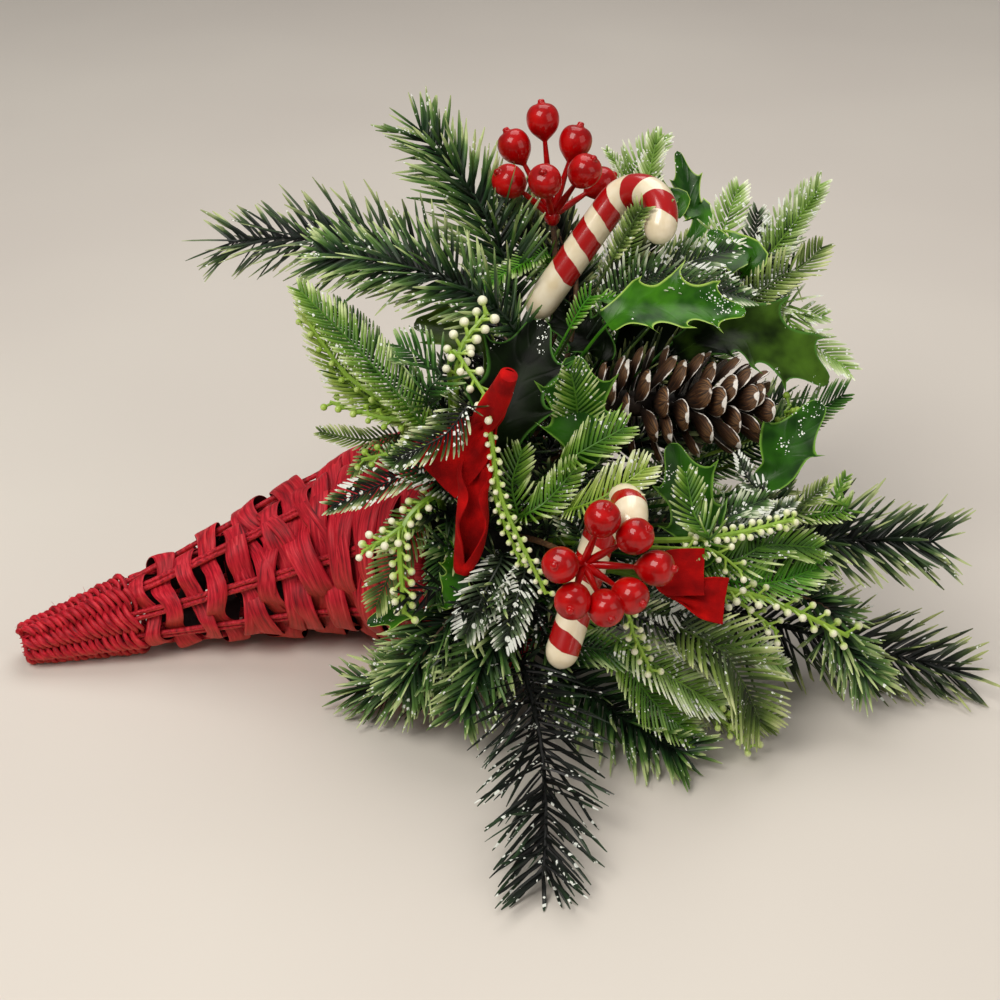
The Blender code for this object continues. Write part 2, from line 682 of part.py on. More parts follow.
def make_berry_sprig(name, points, claims, surface):
    """A branching stem with small beads on stalks to both sides."""
    along, over, across = path_frames(points, FACING)
    count = len(points)
    share = np.linspace(0.0, 1.0, count)
    half = SPRIG_STEM / 2 * (1.0 - FROND_TAPER_SHARE * share)
    skin = Skin()
    numbers = [skin.add_ring(ring) for ring in square_rings(points, half, half, over, across)]
    skin.faces.append(numbers[0])
    for step in range(count - 1):
        side = 1 if step % 2 else 3
        middle = (points[step] + points[step + 1]) / 2
        room = claims.room(name, middle) - SPRIG_STEM
        stalk = min(BEAD_STALK, room - BEAD_DIAMETER)
        beaded = step >= FROND_BARE_STEPS and stalk > BEAD_DIAMETER / 3
        opened = skin.bridge(numbers[step], numbers[step + 1], (side,) if beaded else ())
        for quad in opened.values():
            seat = np.mean([skin.points[number] for number in quad], axis=0)
            outward = across[step] * (-1.0 if side == 1 else 1.0)
            direction = unit(along[step] * BEAD_SLANT_SHARE + outward)
            add_bead(skin, quad, seat, direction, stalk)
    end = above_table(points[-1], along[-1], BEAD_DIAMETER)
    skin.spike(numbers[-1], points[-1] + along[-1] * end)
    return add_object(name, skin.points, skin.faces, surface)


def add_bead(skin, quad, seat, direction, stalk):
    """Pushes one side of a stem out into a stalk with a round bead on its end."""
    corners = np.array([skin.points[number] for number in quad]) - seat
    flat = corners - np.outer(corners @ direction, direction)
    spread = unit(flat)
    bead = BEAD_DIAMETER / 2
    previous = list(quad)
    middle = seat + direction * (stalk + bead)
    sections = [(stalk, bead * BEAD_STALK_SHARE)]
    for lean in BEAD_LEANS:
        sections.append((stalk + bead - bead * math.cos(math.radians(lean)),
                         bead * math.sin(math.radians(lean))))
    for distance, radius in sections:
        ring = skin.add_ring(list(seat + direction * distance + spread * radius))
        skin.bridge(previous, ring)
        previous = ring
    skin.spike(previous, middle + direction * bead)


def add_rod(name, points, thickness, surface):
    """A hidden round rod along a path, to be fused to the piece that it holds."""
    _, over, across = path_frames(points, FACING)
    rod = Skin()
    rod.tube(round_rings(points, np.full(len(points), thickness / 2), 6, over, across))
    return add_object(name, rod.points, rod.faces, surface, hidden=True)


def make_berries(name, points, surface):
    """A taped stem with a hub and seven stalked, pear-shaped lacquered berries."""
    along, over, across = path_frames(points, FACING)
    place = points[-1]
    axis = along[-1]
    leans = np.radians(HUB_LEANS)
    hub = Skin()
    hub_places = place + axis * np.cos(leans)[:, None] * BERRY_HUB / 2
    hub_radii = BERRY_HUB / 2 * np.sin(leans)
    hub.tube(round_rings(hub_places, hub_radii, 8, [over[-1]] * len(leans), [across[-1]] * len(leans)))
    base = add_object(name, hub.points, hub.faces, surface)
    berries = Skin()
    for clock, lean, reach_share in BERRY_DIRECTIONS:
        clock = math.radians(clock)
        lean = math.radians(lean)
        round_stem = over[-1] * math.cos(clock) + across[-1] * math.sin(clock)
        outward = axis * math.cos(lean) + round_stem * math.sin(lean)
        first = unit(np.cross(outward, across[-1]))
        second = np.cross(outward, first)
        body = BERRY_REACH * reach_share - BERRY_LENGTH
        profile = [(BERRY_HUB * HUB_SEAT_SHARE, BERRY_STALK / 2), (body, BERRY_STALK / 2)]
        profile += [(body + BERRY_LENGTH * run, BERRY_DIAMETER / 2 * wide)
                    for run, wide in BERRY_PROFILE_SHARES]
        places = [place + outward * distance for distance, _ in profile]
        widths = [radius for _, radius in profile]
        berries.tube(round_rings(places, widths, 7, [second] * len(places), [first] * len(places)))
    join_to(base, [add_rod(name + "_stem", points, TAPED_STEM, surface),
                   add_object(name + "_fruit", berries.points, berries.faces, surface, hidden=True)])
    return base


def cane_points(foot, straight, hook):
    """A straight run, then a half circle and a bit, from the foot along two square directions."""
    points = [foot + straight * CANE_STRAIGHT * share for share in (0.0, 0.5, 1.0)]
    middle = foot + straight * CANE_STRAIGHT + hook * CANE_HOOK_RADIUS
    for turn in np.radians(CANE_TURNS):
        points.append(middle - hook * math.cos(turn) * CANE_HOOK_RADIUS
                      + straight * math.sin(turn) * CANE_HOOK_RADIUS)
    return np.array(points)


def make_cane(name, points, facing, wire_points, surface):
    """A hooked stick with rounded ends, held by a wire that enters its back."""
    along, over, across = path_frames(points, facing)
    half = CANE_DIAMETER / 2
    start = [points[0] + along[0] * half * back for back, _ in CANE_END_SHARES]
    end = [points[-1] - along[-1] * half * back for back, _ in reversed(CANE_END_SHARES)]
    end_radii = [half * wide for _, wide in CANE_END_SHARES]
    radii = end_radii + [half] * len(points) + end_radii[::-1]
    extra = len(CANE_END_SHARES)
    frame_over = [over[0]] * extra + list(over) + [over[-1]] * extra
    frame_across = [across[0]] * extra + list(across) + [across[-1]] * extra
    skin = Skin()
    skin.tube(round_rings(start + list(points) + end, radii, 9, frame_over, frame_across))
    base = add_object(name, skin.points, skin.faces, surface)
    join_to(base, [add_rod(name + "_wire", wire_points, PICK_WIRE, surface)])
    return base


def make_ribbon(name, knot, outward, loop, wire_points, size_share, surface):
    """A velvet strip with a hanging end, a pinched knot, an open loop and a second end."""
    outward = unit(outward)
    loop = unit(loop - outward * (loop @ outward))
    wide = np.cross(loop, outward)
    width = RIBBON_WIDTH * size_share
    line = np.array([knot + width * (loop * run + outward * high)
                     for run, high, _ in RIBBON_RUN_SHARES])
    along = unit(np.gradient(line, axis=0))
    rings = []
    for point, heading, (_, _, width_share) in zip(line, along, RIBBON_RUN_SHARES):
        normal = np.cross(wide, heading)
        half = width / 2 * width_share
        rings.append(np.array([point + wide * half * right + normal * RIBBON_THICKNESS / 2 * top
                               for right, top in ((1, 1), (-1, 1), (-1, -1), (1, -1))]))
    skin = Skin()
    skin.tube(rings)
    base = add_object(name, skin.points, skin.faces, surface)
    join_to(base, [add_rod(name + "_wire", wire_points, PICK_WIRE, surface)])
    return base


def cone_swell(share):
    """How wide the cone is from butt to tip, as a share of its widest."""
    return half_sine(share, CONE_SWELL_SHARES) ** CONE_SWELL_POWER


def make_pinecone(butt, axis, stem_points, surface):
    """A woody core with rows of thick scales that open towards the tip, on a taped stem."""
    over = unit(UP - axis * (axis @ UP))
    across = np.cross(axis, over)
    count = CONE_ROWS + 1
    share = np.linspace(0.0, 1.0, count)
    swell = cone_swell(share)
    core = CONE_DIAMETER / 2 * CONE_CORE_SHARE
    places = butt + axis * (CONE_LENGTH * CONE_BODY_SHARE * share)[:, None]
    skin = Skin()
    rings = round_rings(places, core * swell, CONE_SIDES, [over] * count, [across] * count,
                        math.pi / CONE_SIDES)
    numbers = [skin.add_ring(ring) for ring in rings]
    skin.faces.append(numbers[0])
    for row in range(CONE_ROWS):
        opened = skin.bridge(numbers[row], numbers[row + 1], range(CONE_SIDES))
        middle = (places[row] + places[row + 1]) / 2
        reach = CONE_DIAMETER / 2 * (swell[row] + swell[row + 1]) / 2 - core * swell[row]
        for quad in opened.values():
            corners = np.array([skin.points[number] for number in quad])
            seat = corners.mean(axis=0)
            outward = unit(seat - middle)
            sideways = unit(corners[1] - corners[0])
            lean = math.radians(SCALE_LEAN_AT_BUTT + (SCALE_LEAN_AT_TIP - SCALE_LEAN_AT_BUTT) * share[row])
            direction = outward * math.sin(lean) + axis * math.cos(lean)
            upper = unit(axis - direction * (axis @ direction))
            tip = seat + direction * reach
            wide = sideways * reach * SCALE_WIDTH_SHARE
            thick = upper * reach * SCALE_THICKNESS_SHARE
            scale = skin.add_ring([tip + wide * right + thick * high
                                   for right, high in ((-1, -1), (1, -1), (1, 1), (-1, 1))])
            skin.bridge(list(quad), scale)
            skin.faces.append(scale)
    skin.spike(numbers[-1], butt + axis * CONE_LENGTH)
    base = add_object("pinecone", skin.points, skin.faces, surface)
    join_to(base, [add_rod("pinecone_stem", stem_points, TAPED_STEM, surface)])
    return base


def build():
    """Makes every piece of the basket."""
    for old in list(bpy.data.objects):
        bpy.data.objects.remove(old, do_unlink=True)
    red_reed = material("red_reed", (0.46, 0.013, 0.030), 0.62)
    foam_green = material("floral_foam", (0.035, 0.060, 0.030), 0.95)
    pine_green = material("pine_green", (0.020, 0.085, 0.022), 0.45)
    fern_green = material("fern_green", (0.070, 0.230, 0.040), 0.45)
    holly_green = material("holly_green", (0.020, 0.130, 0.022), 0.30)
    sprig_lime = material("sprig_lime", (0.420, 0.580, 0.180), 0.40)
    berry_red = material("berry_red", (0.480, 0.006, 0.008), 0.10)
    candy_white = material("candy_white", (0.800, 0.740, 0.600), 0.15)
    velvet_red = material("velvet_red", (0.480, 0.008, 0.010), 0.85)
    cone_brown = material("cone_brown", (0.120, 0.055, 0.025), 0.70)

    horn = Horn()
    crown = Crown(horn)
    claims = Claims()

    for number in range(STAKE_COUNT):
        make_stake(horn, number, red_reed)
    for row in range(WEAVER_COUNT):
        make_weaver(horn, row, red_reed)
    make_tail_winding(horn, red_reed)
    make_mouth_hoop(horn, red_reed)
    make_foam(horn, crown, foam_green)

    claim_basket(horn, crown, claims)
    solids = place_solids(crown, claims)
    leafy = []
    for table, length, count, maker, surface in (
            (PINE_SHARES, PINE_LENGTH, 17, make_pine_spray, pine_green),
            (FERN_SHARES, FERN_LENGTH, 15, make_fern, fern_green),
            (HOLLY_SHARES, HOLLY_LENGTH, 14, make_holly_leaf, holly_green),
            (SPRIG_SHARES, SPRIG_LENGTH, 12, make_berry_sprig, sprig_lime)):
        for name, (root, tip, share, bow) in table.items():
            points = crown.path(root, tip, length * share, count, bow)
            claims.add(name, crown.path(root, tip, length * share, 60, bow), TAPED_STEM / 2, False)
            leafy.append((maker, name, points, surface))
    for maker, name, points, surface in leafy:
        maker(name, points, claims, surface)

    for name in BERRY_SHARES:
        make_berries(name, solids[name], berry_red)
    for name in ("candy_cane_top", "candy_cane_front"):
        points, facing, wire = solids[name]
        make_cane(name, points, facing, wire, candy_white)
    for name in ("ribbon_left", "ribbon_right"):
        make_ribbon(name, *solids[name], velvet_red)
    butt, axis, stem = solids["pinecone"]
    make_pinecone(butt, axis, stem, cone_brown)


def claim_basket(horn, crown, claims):
    """Keeps leaves out of the horn, its rim and the foam."""
    shares = np.linspace(0.0, RIM_START_SHARE, 40)[:-1]
    places = np.array([horn.at(share)[0] for share in shares])
    claims.add("horn", places, horn_radius(shares) + UNDERSIDE, True)
    for share in np.linspace(RIM_START_SHARE, 1.0, 5):
        ring = np.array([horn.wall(share, angle)[0] for angle in np.linspace(0, 2 * math.pi, 65)[:-1]])
        claims.add("rim", ring, UNDERSIDE + HOOP_DIAMETER / 2, True)
    claims.add("foam", crown.middle[None, :], crown.radius, True)


def place_solids(crown, claims):
    """Places the berries, canes, ribbons and cone, and claims their space."""
    solids = {}
    for name, (root, tip, share, bow) in BERRY_SHARES.items():
        points = crown.path(root, tip, BERRY_REACH * share, 8, bow)
        claims.add(name, points, TAPED_STEM / 2, True)
        hub_along = unit(points[-1] - points[-2])
        cluster = points[-1] + hub_along * BERRY_REACH * BERRY_CENTRE_SHARE
        claims.add(name, cluster[None, :], BERRY_REACH, True)
        solids[name] = points

    for name, (root, foot_at, top_at) in CANE_SHARES.items():
        foot = crown.point(*foot_at[:2], CANE_STRAIGHT * foot_at[2])
        top = crown.point(*top_at[:2], CANE_STRAIGHT * top_at[2])
        straight = unit(top - foot)
        hook = unit(np.cross(straight, FACING))
        points = cane_points(foot, straight, hook)
        wire = crown.path_to(root, points[1], 7)
        solids[name] = (points, unit(np.cross(hook, straight)), wire)
        claims.add(name, points, CANE_DIAMETER / 2 + SEAT_GAP, True)
        claims.add(name, wire, PICK_WIRE / 2, True)

    for name, (root, knot_at, loop_to, size_share) in RIBBON_SHARES.items():
        knot = crown.point(*knot_at[:2], RIBBON_WIDTH * knot_at[2])
        outward = crown.direction(*knot_at[:2])
        loop = crown.point(*loop_to, RIBBON_WIDTH * knot_at[2]) - knot
        wire = crown.path_to(root, knot, 7)
        run = unit(loop - outward * (loop @ outward))
        width = RIBBON_WIDTH * size_share
        runs = [place for place, _, _ in RIBBON_RUN_SHARES]
        line = np.linspace(min(runs) - RIBBON_CLEAR_SHARE, max(runs), 13)[:, None] * width * run
        claims.add(name, knot + line, width * RIBBON_GIRTH_SHARE, True)
        claims.add(name, wire, PICK_WIRE / 2, True)
        solids[name] = (knot, outward, loop, wire, size_share)

    butt = crown.point(*CONE_BUTT_SHARE[:2], CONE_LENGTH * CONE_BUTT_SHARE[2])
    end = crown.point(*CONE_TIP_SHARE[:2], CONE_LENGTH * CONE_TIP_SHARE[2])
    axis = unit(end - butt)
    stem = crown.path_to(CONE_ROOT, butt + axis * CONE_LENGTH * CONE_SEAT_SHARE, 7)
    share = np.linspace(0.0, 1.0, 15)
    claims.add("pinecone", butt + share[:, None] * axis * CONE_LENGTH * CONE_CLAIM_SHARE,
               CONE_DIAMETER / 2 * cone_swell(share), True)
    claims.add("pinecone", stem, TAPED_STEM / 2, True)
    solids["pinecone"] = (butt, axis, stem)
    return solids


build()
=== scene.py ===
"""Looks of a horn basket of dyed wicker filled with winter greenery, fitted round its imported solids.

Frame: metres, +Z up. The tail of the horn lies towards -X and the side made to be seen faces -Y. Sizes in
the tables are in millimetres and places on the picture in pixels of its 1000 x 1000 frame.
"""

import math

import bpy
import numpy as np
from mathutils import Matrix


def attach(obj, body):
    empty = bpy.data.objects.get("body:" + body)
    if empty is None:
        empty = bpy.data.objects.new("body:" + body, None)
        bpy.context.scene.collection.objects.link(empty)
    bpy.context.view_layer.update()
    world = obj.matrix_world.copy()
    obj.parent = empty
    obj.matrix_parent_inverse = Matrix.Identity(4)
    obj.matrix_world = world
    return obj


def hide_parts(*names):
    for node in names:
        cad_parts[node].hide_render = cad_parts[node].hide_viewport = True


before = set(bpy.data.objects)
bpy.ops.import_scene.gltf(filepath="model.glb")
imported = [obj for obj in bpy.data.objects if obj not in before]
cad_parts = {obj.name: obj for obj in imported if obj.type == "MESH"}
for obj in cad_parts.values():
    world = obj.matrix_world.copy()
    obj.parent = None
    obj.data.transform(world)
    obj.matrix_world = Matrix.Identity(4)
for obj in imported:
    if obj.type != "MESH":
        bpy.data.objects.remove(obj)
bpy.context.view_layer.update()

MM = 0.001
TURN = 2.0 * math.pi
GOLDEN_TURN = math.pi * (3.0 - math.sqrt(5.0))
UP = np.array([0.0, 0.0, 1.0])

# Camera: the view that the photograph was taken from
VIEW_ELEVATION = math.radians(29.6)
VIEW_DISTANCE = 0.80
VIEW_WIDTH = 0.430
SENSOR_WIDTH = 36.0
PICTURE_SIZE = 1000.0
ORIGIN_PIXEL = (522.0, 657.0)
FOCAL_PIXELS = PICTURE_SIZE * VIEW_DISTANCE / VIEW_WIDTH
VIEW_BACK = np.array([0.0, -math.cos(VIEW_ELEVATION), math.sin(VIEW_ELEVATION)])
VIEW_RIGHT = np.array([1.0, 0.0, 0.0])
VIEW_UP = np.cross(VIEW_BACK, VIEW_RIGHT)
EYE = VIEW_BACK * VIEW_DISTANCE - VIEW_DISTANCE / FOCAL_PIXELS * (
    VIEW_RIGHT * (ORIGIN_PIXEL[0] - PICTURE_SIZE / 2) + VIEW_UP * (PICTURE_SIZE / 2 - ORIGIN_PIXEL[1]))

# Horn and crown of foam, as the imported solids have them, in metres and degrees
HORN_LENGTH = 0.212
MOUTH_RADIUS = 0.052
TAIL_RADIUS = 0.0051
FLARE_POWER = 1.17
TAIL_HEADING = -14.0
MOUTH_HEADING = 30.0
BEND_START = 0.50
ROUND_REED = 0.0022
FLAT_REED_WIDTH = 0.0078
FLAT_REED_THICKNESS = 0.0010
STAKE_COUNT = 8
STAKE_TURN = math.radians(-20.0)
STAKE_PINCH = 0.80
WEAVER_COUNT = 16
WEAVER_START = 0.268
WEAVER_END = 0.980
WINDING_TURNS = 16
WINDING_END = 0.236
HOOP_DIAMETER = 0.0052
RESTING_FLAT_DEPTH = 0.0005
CROWN_HEIGHT = 0.036
FOAM_DEPTH = 0.12
UNDERSIDE = ROUND_REED * 1.5 + 0.0006
HOOP_STANDOFF = HOOP_DIAMETER / 2 + 0.0003
WEAVER_LIFT = (ROUND_REED + FLAT_REED_THICKNESS) / 2 + 0.0005
INNER_WALL = WEAVER_LIFT + FLAT_REED_THICKNESS / 2 + 0.0006
# Depth of a stem's root in the foam, and how high a stem stays above the floor
ROOT_DEPTH = 0.004
STEM_CLEARANCE = 0.004
# The line that the upper sides of stems and blades turn to: up and towards the camera
FACING = np.array([0.0, -0.5, 0.87])


def unit(vector):
    """A vector, or each of an array of them, at length one."""
    return vector / np.maximum(np.linalg.norm(vector, axis=-1, keepdims=True), 1e-12)


def smooth_step(share):
    """Zero below 0, one above 1, with level ends between."""
    share = np.clip(share, 0.0, 1.0)
    return share * share * (3.0 - 2.0 * share)


def turns(sides, extra=0):
    """Even angles round a circle, and a few more past its start where extra ones are asked for."""
    return np.arange(sides + extra) * TURN / sides


def read_tracks(share, marks, tracks):
    """Points of several tracks at shares of a length, on straight lines between their marked stations."""
    return [np.stack([np.interp(share, marks, track[:, axis]) for axis in range(3)], axis=-1)
            for track in tracks]


def swung(first, second, angle):
    """A line swung from a first direction towards a second one by an angle, for each angle of an array."""
    return first * np.cos(angle)[..., None] + second * np.sin(angle)[..., None]


def rings_round(points, first, second, radii, sides):
    """Rings round points: a radius times the turn's cosine along one line and its sine along another."""
    ring = swung(first[..., None, :], second[..., None, :], turns(sides))
    return points[..., None, :] + ring * radii[..., None, None]


def ray_through(x, y):
    """The direction in which the camera sees a picture pixel."""
    across = VIEW_RIGHT * (x - PICTURE_SIZE / 2) + VIEW_UP * (PICTURE_SIZE / 2 - y)
    return unit(across / FOCAL_PIXELS - VIEW_BACK)


def seen_at(x, y, depth):
    """The point on the camera's ray through a picture pixel whose Y is the given depth in millimetres."""
    ray = ray_through(x, y)
    return EYE + ray * (depth * MM - EYE[1]) / ray[1]


def seen_round(middle, radius, x, y, side=1.0):
    """Where the camera's ray through a pixel enters a ball, or leaves it for side -1, or passes closest."""
    ray = ray_through(x, y)
    gap = middle - EYE
    closest = ray @ gap
    depth = radius ** 2 - (gap @ gap - closest ** 2)
    return EYE + ray * (closest - side * math.sqrt(max(depth, 0.0)))


def curve_through(points, count):
    """A smooth curve through points: cubic Hermite pieces, whose slopes join each point's neighbours."""
    points = np.asarray(points, float)
    last = len(points) - 1
    slope = np.gradient(points, axis=0)
    place = np.linspace(0.0, last, count)
    piece = np.minimum(place.astype(int), last - 1)
    s = (place - piece)[:, None]
    a, b, m, n = points[piece], points[piece + 1], slope[piece], slope[piece + 1]
    return (a * (2 * s ** 3 - 3 * s ** 2 + 1) + m * (s ** 3 - 2 * s ** 2 + s)
            + b * (3 * s ** 2 - 2 * s ** 3) + n * (s ** 3 - s ** 2))


class Horn:
    """The horn's bent centre line and its wall, for whole arrays of places at once."""

    def __init__(self, stations=401):
        self.share = np.linspace(0.0, 1.0, stations)
        bend = smooth_step((self.share - BEND_START) / (1.0 - BEND_START))
        heading = np.radians(TAIL_HEADING + (MOUTH_HEADING - TAIL_HEADING) * bend)
        self.radius = TAIL_RADIUS + (MOUTH_RADIUS - TAIL_RADIUS) * self.share ** FLARE_POWER
        under = self.radius + UNDERSIDE
        slope = np.arctan(np.gradient(under, self.share * HORN_LENGTH))
        level = np.stack([np.cos(heading), -np.sin(heading), 0.0 * heading], axis=1)
        self.along = swung(level, UP, slope)
        self.up = unit(UP - self.along * self.along[:, 2:3])
        self.side = np.cross(self.up, self.along)
        middle = 0.5 * (self.along[1:] + self.along[:-1]) * HORN_LENGTH / (stations - 1)
        self.centre = np.concatenate([np.zeros((1, 3)), np.cumsum(middle, axis=0)])
        self.centre[:, 2] = under * np.cos(slope)
        lift = HOOP_STANDOFF * math.sin(slope[-1])
        drop = (HOOP_DIAMETER / 2 - RESTING_FLAT_DEPTH - lift) / math.cos(slope[-1])
        self.hoop_radius = MOUTH_RADIUS + UNDERSIDE - drop
        hoop_point = self.centre[-1] + self.along[-1] * HOOP_STANDOFF
        self.centre[:, :2] -= (hoop_point - self.up[-1] * self.hoop_radius)[:2]

    def at(self, share):
        """Centre, direction, up, side and stake radius at shares of the length."""
        tracks = read_tracks(share, self.share, (self.centre, self.along, self.up, self.side))
        return (*tracks, np.interp(share, self.share, self.radius))

    def surface(self, share, angle):
        """The stakes' surface: the centre plus the stake radius round it. Also gives the outward line."""
        centre, _, up, side, radius = self.at(share)
        outward = swung(up, side, angle)
        return centre + outward * radius[..., None], outward

    def wall(self, share, angle, lift=0.0):
        """Points at a height off the stakes' surface, with the normal, the way up the wall and round it."""
        share, angle, lift = np.broadcast_arrays(np.asarray(share, float), angle, lift)
        point, outward = self.surface(share, angle)
        step = 0.5 / len(self.share)
        rise = unit(self.surface(np.minimum(share + step, 1.0), angle)[0]
                    - self.surface(np.maximum(share - step, 0.0), angle)[0])
        around = unit(np.cross(outward, rise))
        normal = np.cross(rise, around)
        return point + normal * lift[..., None], normal, rise, around


class Crown:
    """The foam's domed front: a ball cap whose middle every pick points back to."""

    def __init__(self, horn):
        mouth, self.axis, self.up, self.side, radius = horn.at(1.0)
        rim = radius - INNER_WALL
        self.radius = (rim ** 2 + CROWN_HEIGHT ** 2) / (2.0 * CROWN_HEIGHT)
        self.middle = mouth - self.axis * (self.radius - CROWN_HEIGHT)

    def direction(self, clock, lean):
        """A direction by its clock angle round the mouth's axis and its lean from it, in degrees."""
        clock, lean = np.radians(clock), np.radians(lean)
        across = self.up * math.cos(clock) + self.side * math.sin(clock)
        return self.axis * math.cos(lean) + across * math.sin(lean)

    def point(self, clock, lean, beyond):
        """A point at a distance beyond the foam's surface."""
        return self.middle + self.direction(clock, lean) * (self.radius + beyond)

    def stem(self, root, end, bow_share=0.5, count=40):
        """A stem that leaves the foam squarely and bows over to a point: a quadratic curve."""
        start = self.point(*root, -ROOT_DEPTH)
        reach = np.linalg.norm(end - self.middle) - self.radius
        bow = self.point(*root, max(reach, 0.0) * bow_share)
        s = np.linspace(0.0, 1.0, count)[:, None]
        return Stem(start * (1 - s) ** 2 + bow * 2 * s * (1 - s) + end * s ** 2)

    def seen(self, x, y, forward):
        """The point seen at a pixel, by how far in millimetres it is in front of the foam ball's middle."""
        ray = ray_through(x, y)
        depth = (EYE - self.middle) @ VIEW_BACK - forward * MM
        run = depth / -(ray @ VIEW_BACK)
        return EYE + ray * min(run, (STEM_CLEARANCE - EYE[2]) / ray[2])

    def stem_seen(self, places):
        """A stem out of the foam through places on the picture, and the share at which the first is met."""
        points = [self.seen(*place) for place in places]
        root = self.middle + unit(points[0] - self.middle) * (self.radius - ROOT_DEPTH)
        stem = Stem(curve_through([root, *points], 48))
        return stem, stem.share[round((len(stem.share) - 1) / len(points))]


horn = Horn()
crown = Crown(horn)


class Stem:
    """A path with its direction, its upper side and its right side, read at any share of its length."""

    def __init__(self, points, facing=FACING):
        steps = np.linalg.norm(np.diff(points, axis=0), axis=1)
        self.length = steps.sum()
        self.share = np.concatenate([[0.0], np.cumsum(steps)]) / self.length
        self.points = points
        self.along = unit(np.gradient(points, axis=0))
        self.over = unit(facing - self.along * (self.along @ facing)[:, None])
        self.across = np.cross(self.along, self.over)

    def at(self, share):
        """Place, direction, over and across at shares of the length."""
        return read_tracks(share, self.share, (self.points, self.along, self.over, self.across))

    def tube(self, share, radii, sides):
        """Rings round the path, from its right side to its upper side."""
        point, _, over, across = self.at(share)
        return rings_round(point, across, over, np.broadcast_to(radii, len(point)), sides)


class Shape:
    """Points and faces of one piece, with a UV pair at each face corner and a finish number a face."""

    def __init__(self):
        self.points, self.corners, self.sizes, self.uvs, self.kinds = [], [], [], [], []
        self.count = 0

    def add(self, points, u, v, kind=0, joined=False):
        """Adds grids of points, in rows of columns whose last one joins the first.

        The end rows are joined to each other or capped. All faces are turned round where the sum of their
        corners' triple products, six times the volume, comes out negative.
        """
        points = points.reshape(-1, *points.shape[-3:])
        grids, rows, columns = points.shape[:3]
        number = np.arange(grids * rows * columns).reshape(grids, rows, columns)
        number = np.concatenate([number, number[:, :, :1]], axis=2)
        if joined:
            number = np.concatenate([number, number[:, :1]], axis=1)
        uv = np.stack([np.broadcast_to(u, number.shape), np.broadcast_to(v, number.shape)], axis=-1)
        faces = []
        for grid, width in ((number, ()), (uv, (2,))):
            quads = np.stack([grid[:, :-1, :-1], grid[:, :-1, 1:], grid[:, 1:, 1:], grid[:, 1:, :-1]],
                             axis=3)
            faces.append([quads.reshape(-1, 4, *width)])
            if not joined:
                faces[-1] += [grid[:, 0, -2::-1], grid[:, -1, :-1]]
        flat = points.reshape(-1, 3)
        middle = flat.mean(axis=0)
        volume = 0.0
        for block in faces[0]:
            corner = flat[block] - middle
            volume += (corner[:, :1] * np.cross(corner[:, 1:-1], corner[:, 2:])).sum()
        order = -1 if volume < 0.0 else 1
        for block, block_uv in zip(*faces):
            self.corners.append(block[:, ::order].ravel() + self.count)
            self.uvs.append(block_uv[:, ::order].reshape(-1, 2))
            self.sizes.append(np.full(len(block), block.shape[1]))
            self.kinds.append(np.full(len(block), kind))
        self.points.append(flat)
        self.count += len(flat)


def put(name, data, axes=None):
    """Adds an object to the scene, for a camera or lamp with its right, up and back lines and its place."""
    made = bpy.data.objects.new(name, data)
    if axes:
        made.matrix_world = Matrix([*np.stack(axes, axis=1).tolist(), [0.0, 0.0, 0.0, 1.0]])
    bpy.context.scene.collection.objects.link(made)
    return made


def make_piece(name, shape, finishes, replaced=(), sharp=50.0):
    """One finished piece on the basket from a shape, with its finishes and the solids it stands for."""
    mesh = bpy.data.meshes.new(name)
    points = np.concatenate(shape.points).astype(np.float32)
    corners = np.concatenate(shape.corners).astype(np.int32)
    sizes = np.concatenate(shape.sizes)
    mesh.vertices.add(len(points))
    mesh.vertices.foreach_set("co", points.ravel())
    mesh.loops.add(len(corners))
    mesh.loops.foreach_set("vertex_index", corners)
    mesh.polygons.add(len(sizes))
    mesh.polygons.foreach_set("loop_start", np.concatenate([[0], np.cumsum(sizes)[:-1]]).astype(np.int32))
    mesh.polygons.foreach_set("material_index", np.concatenate(shape.kinds).astype(np.int32))
    mesh.update(calc_edges=True)
    layer = mesh.uv_layers.new(name="UVMap")
    layer.data.foreach_set("uv", np.concatenate(shape.uvs).astype(np.float32).ravel())
    mesh.shade_smooth()
    mesh.set_sharp_from_angle(angle=math.radians(sharp))
    for finish in finishes:
        mesh.materials.append(finish)
    made = put(name, mesh)
    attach(made, "root")
    if replaced:
        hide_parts(*replaced)
    return made


# Finishes

# Added to V on the side of a strip that faces into the horn, where the reed's finish paints near-black
# shade
INNER_FACE = 100.0
# Where the painted bands of a cane begin, in bands from its foot
FIRST_BAND = 1.40
# A Mix node's numbers for its two colours, and what makes it mix and give out colours
FIRST, SECOND = 6, 7
COLOURS = {"data_type": "RGBA", "output": 2}


def colour(code):
    """An sRGB hex code as linear red, green, blue and an alpha of one."""
    parts = np.array([int(code[place:place + 2], 16) for place in (1, 3, 5)]) / 255.0
    linear = np.where(parts <= 0.04045, parts / 12.92, ((parts + 0.055) / 1.055) ** 2.4)
    return (*linear, 1.0)


def node(look, kind, *inputs, output=0, numbered=None, stops=None, **more):
    """Adds one node to a material and gives back the socket that comes out of it.

    Inputs are values or sockets in the node's own order, and numbered holds some of them by number. Stops
    are the places and colours of a ramp, and more holds settings and inputs by name.
    """
    made = look.node_tree.nodes.new("ShaderNode" + kind)
    settings = {name: value for name, value in more.items() if hasattr(made, name)}
    for name, value in settings.items():
        setattr(made, name, value)
    named = {name: value for name, value in more.items() if name not in settings}
    for place, value in {**dict(enumerate(inputs)), **(numbered or {}), **named}.items():
        if isinstance(value, bpy.types.NodeSocket):
            look.node_tree.links.new(value, made.inputs[place])
        else:
            made.inputs[place].default_value = value
    if stops:
        elements = made.color_ramp.elements
        while len(elements) < len(stops):
            elements.new(0.5)
        for element, (place, tint) in zip(elements, stops):
            element.position = place
            element.color = colour(tint)
    return made.outputs[output]


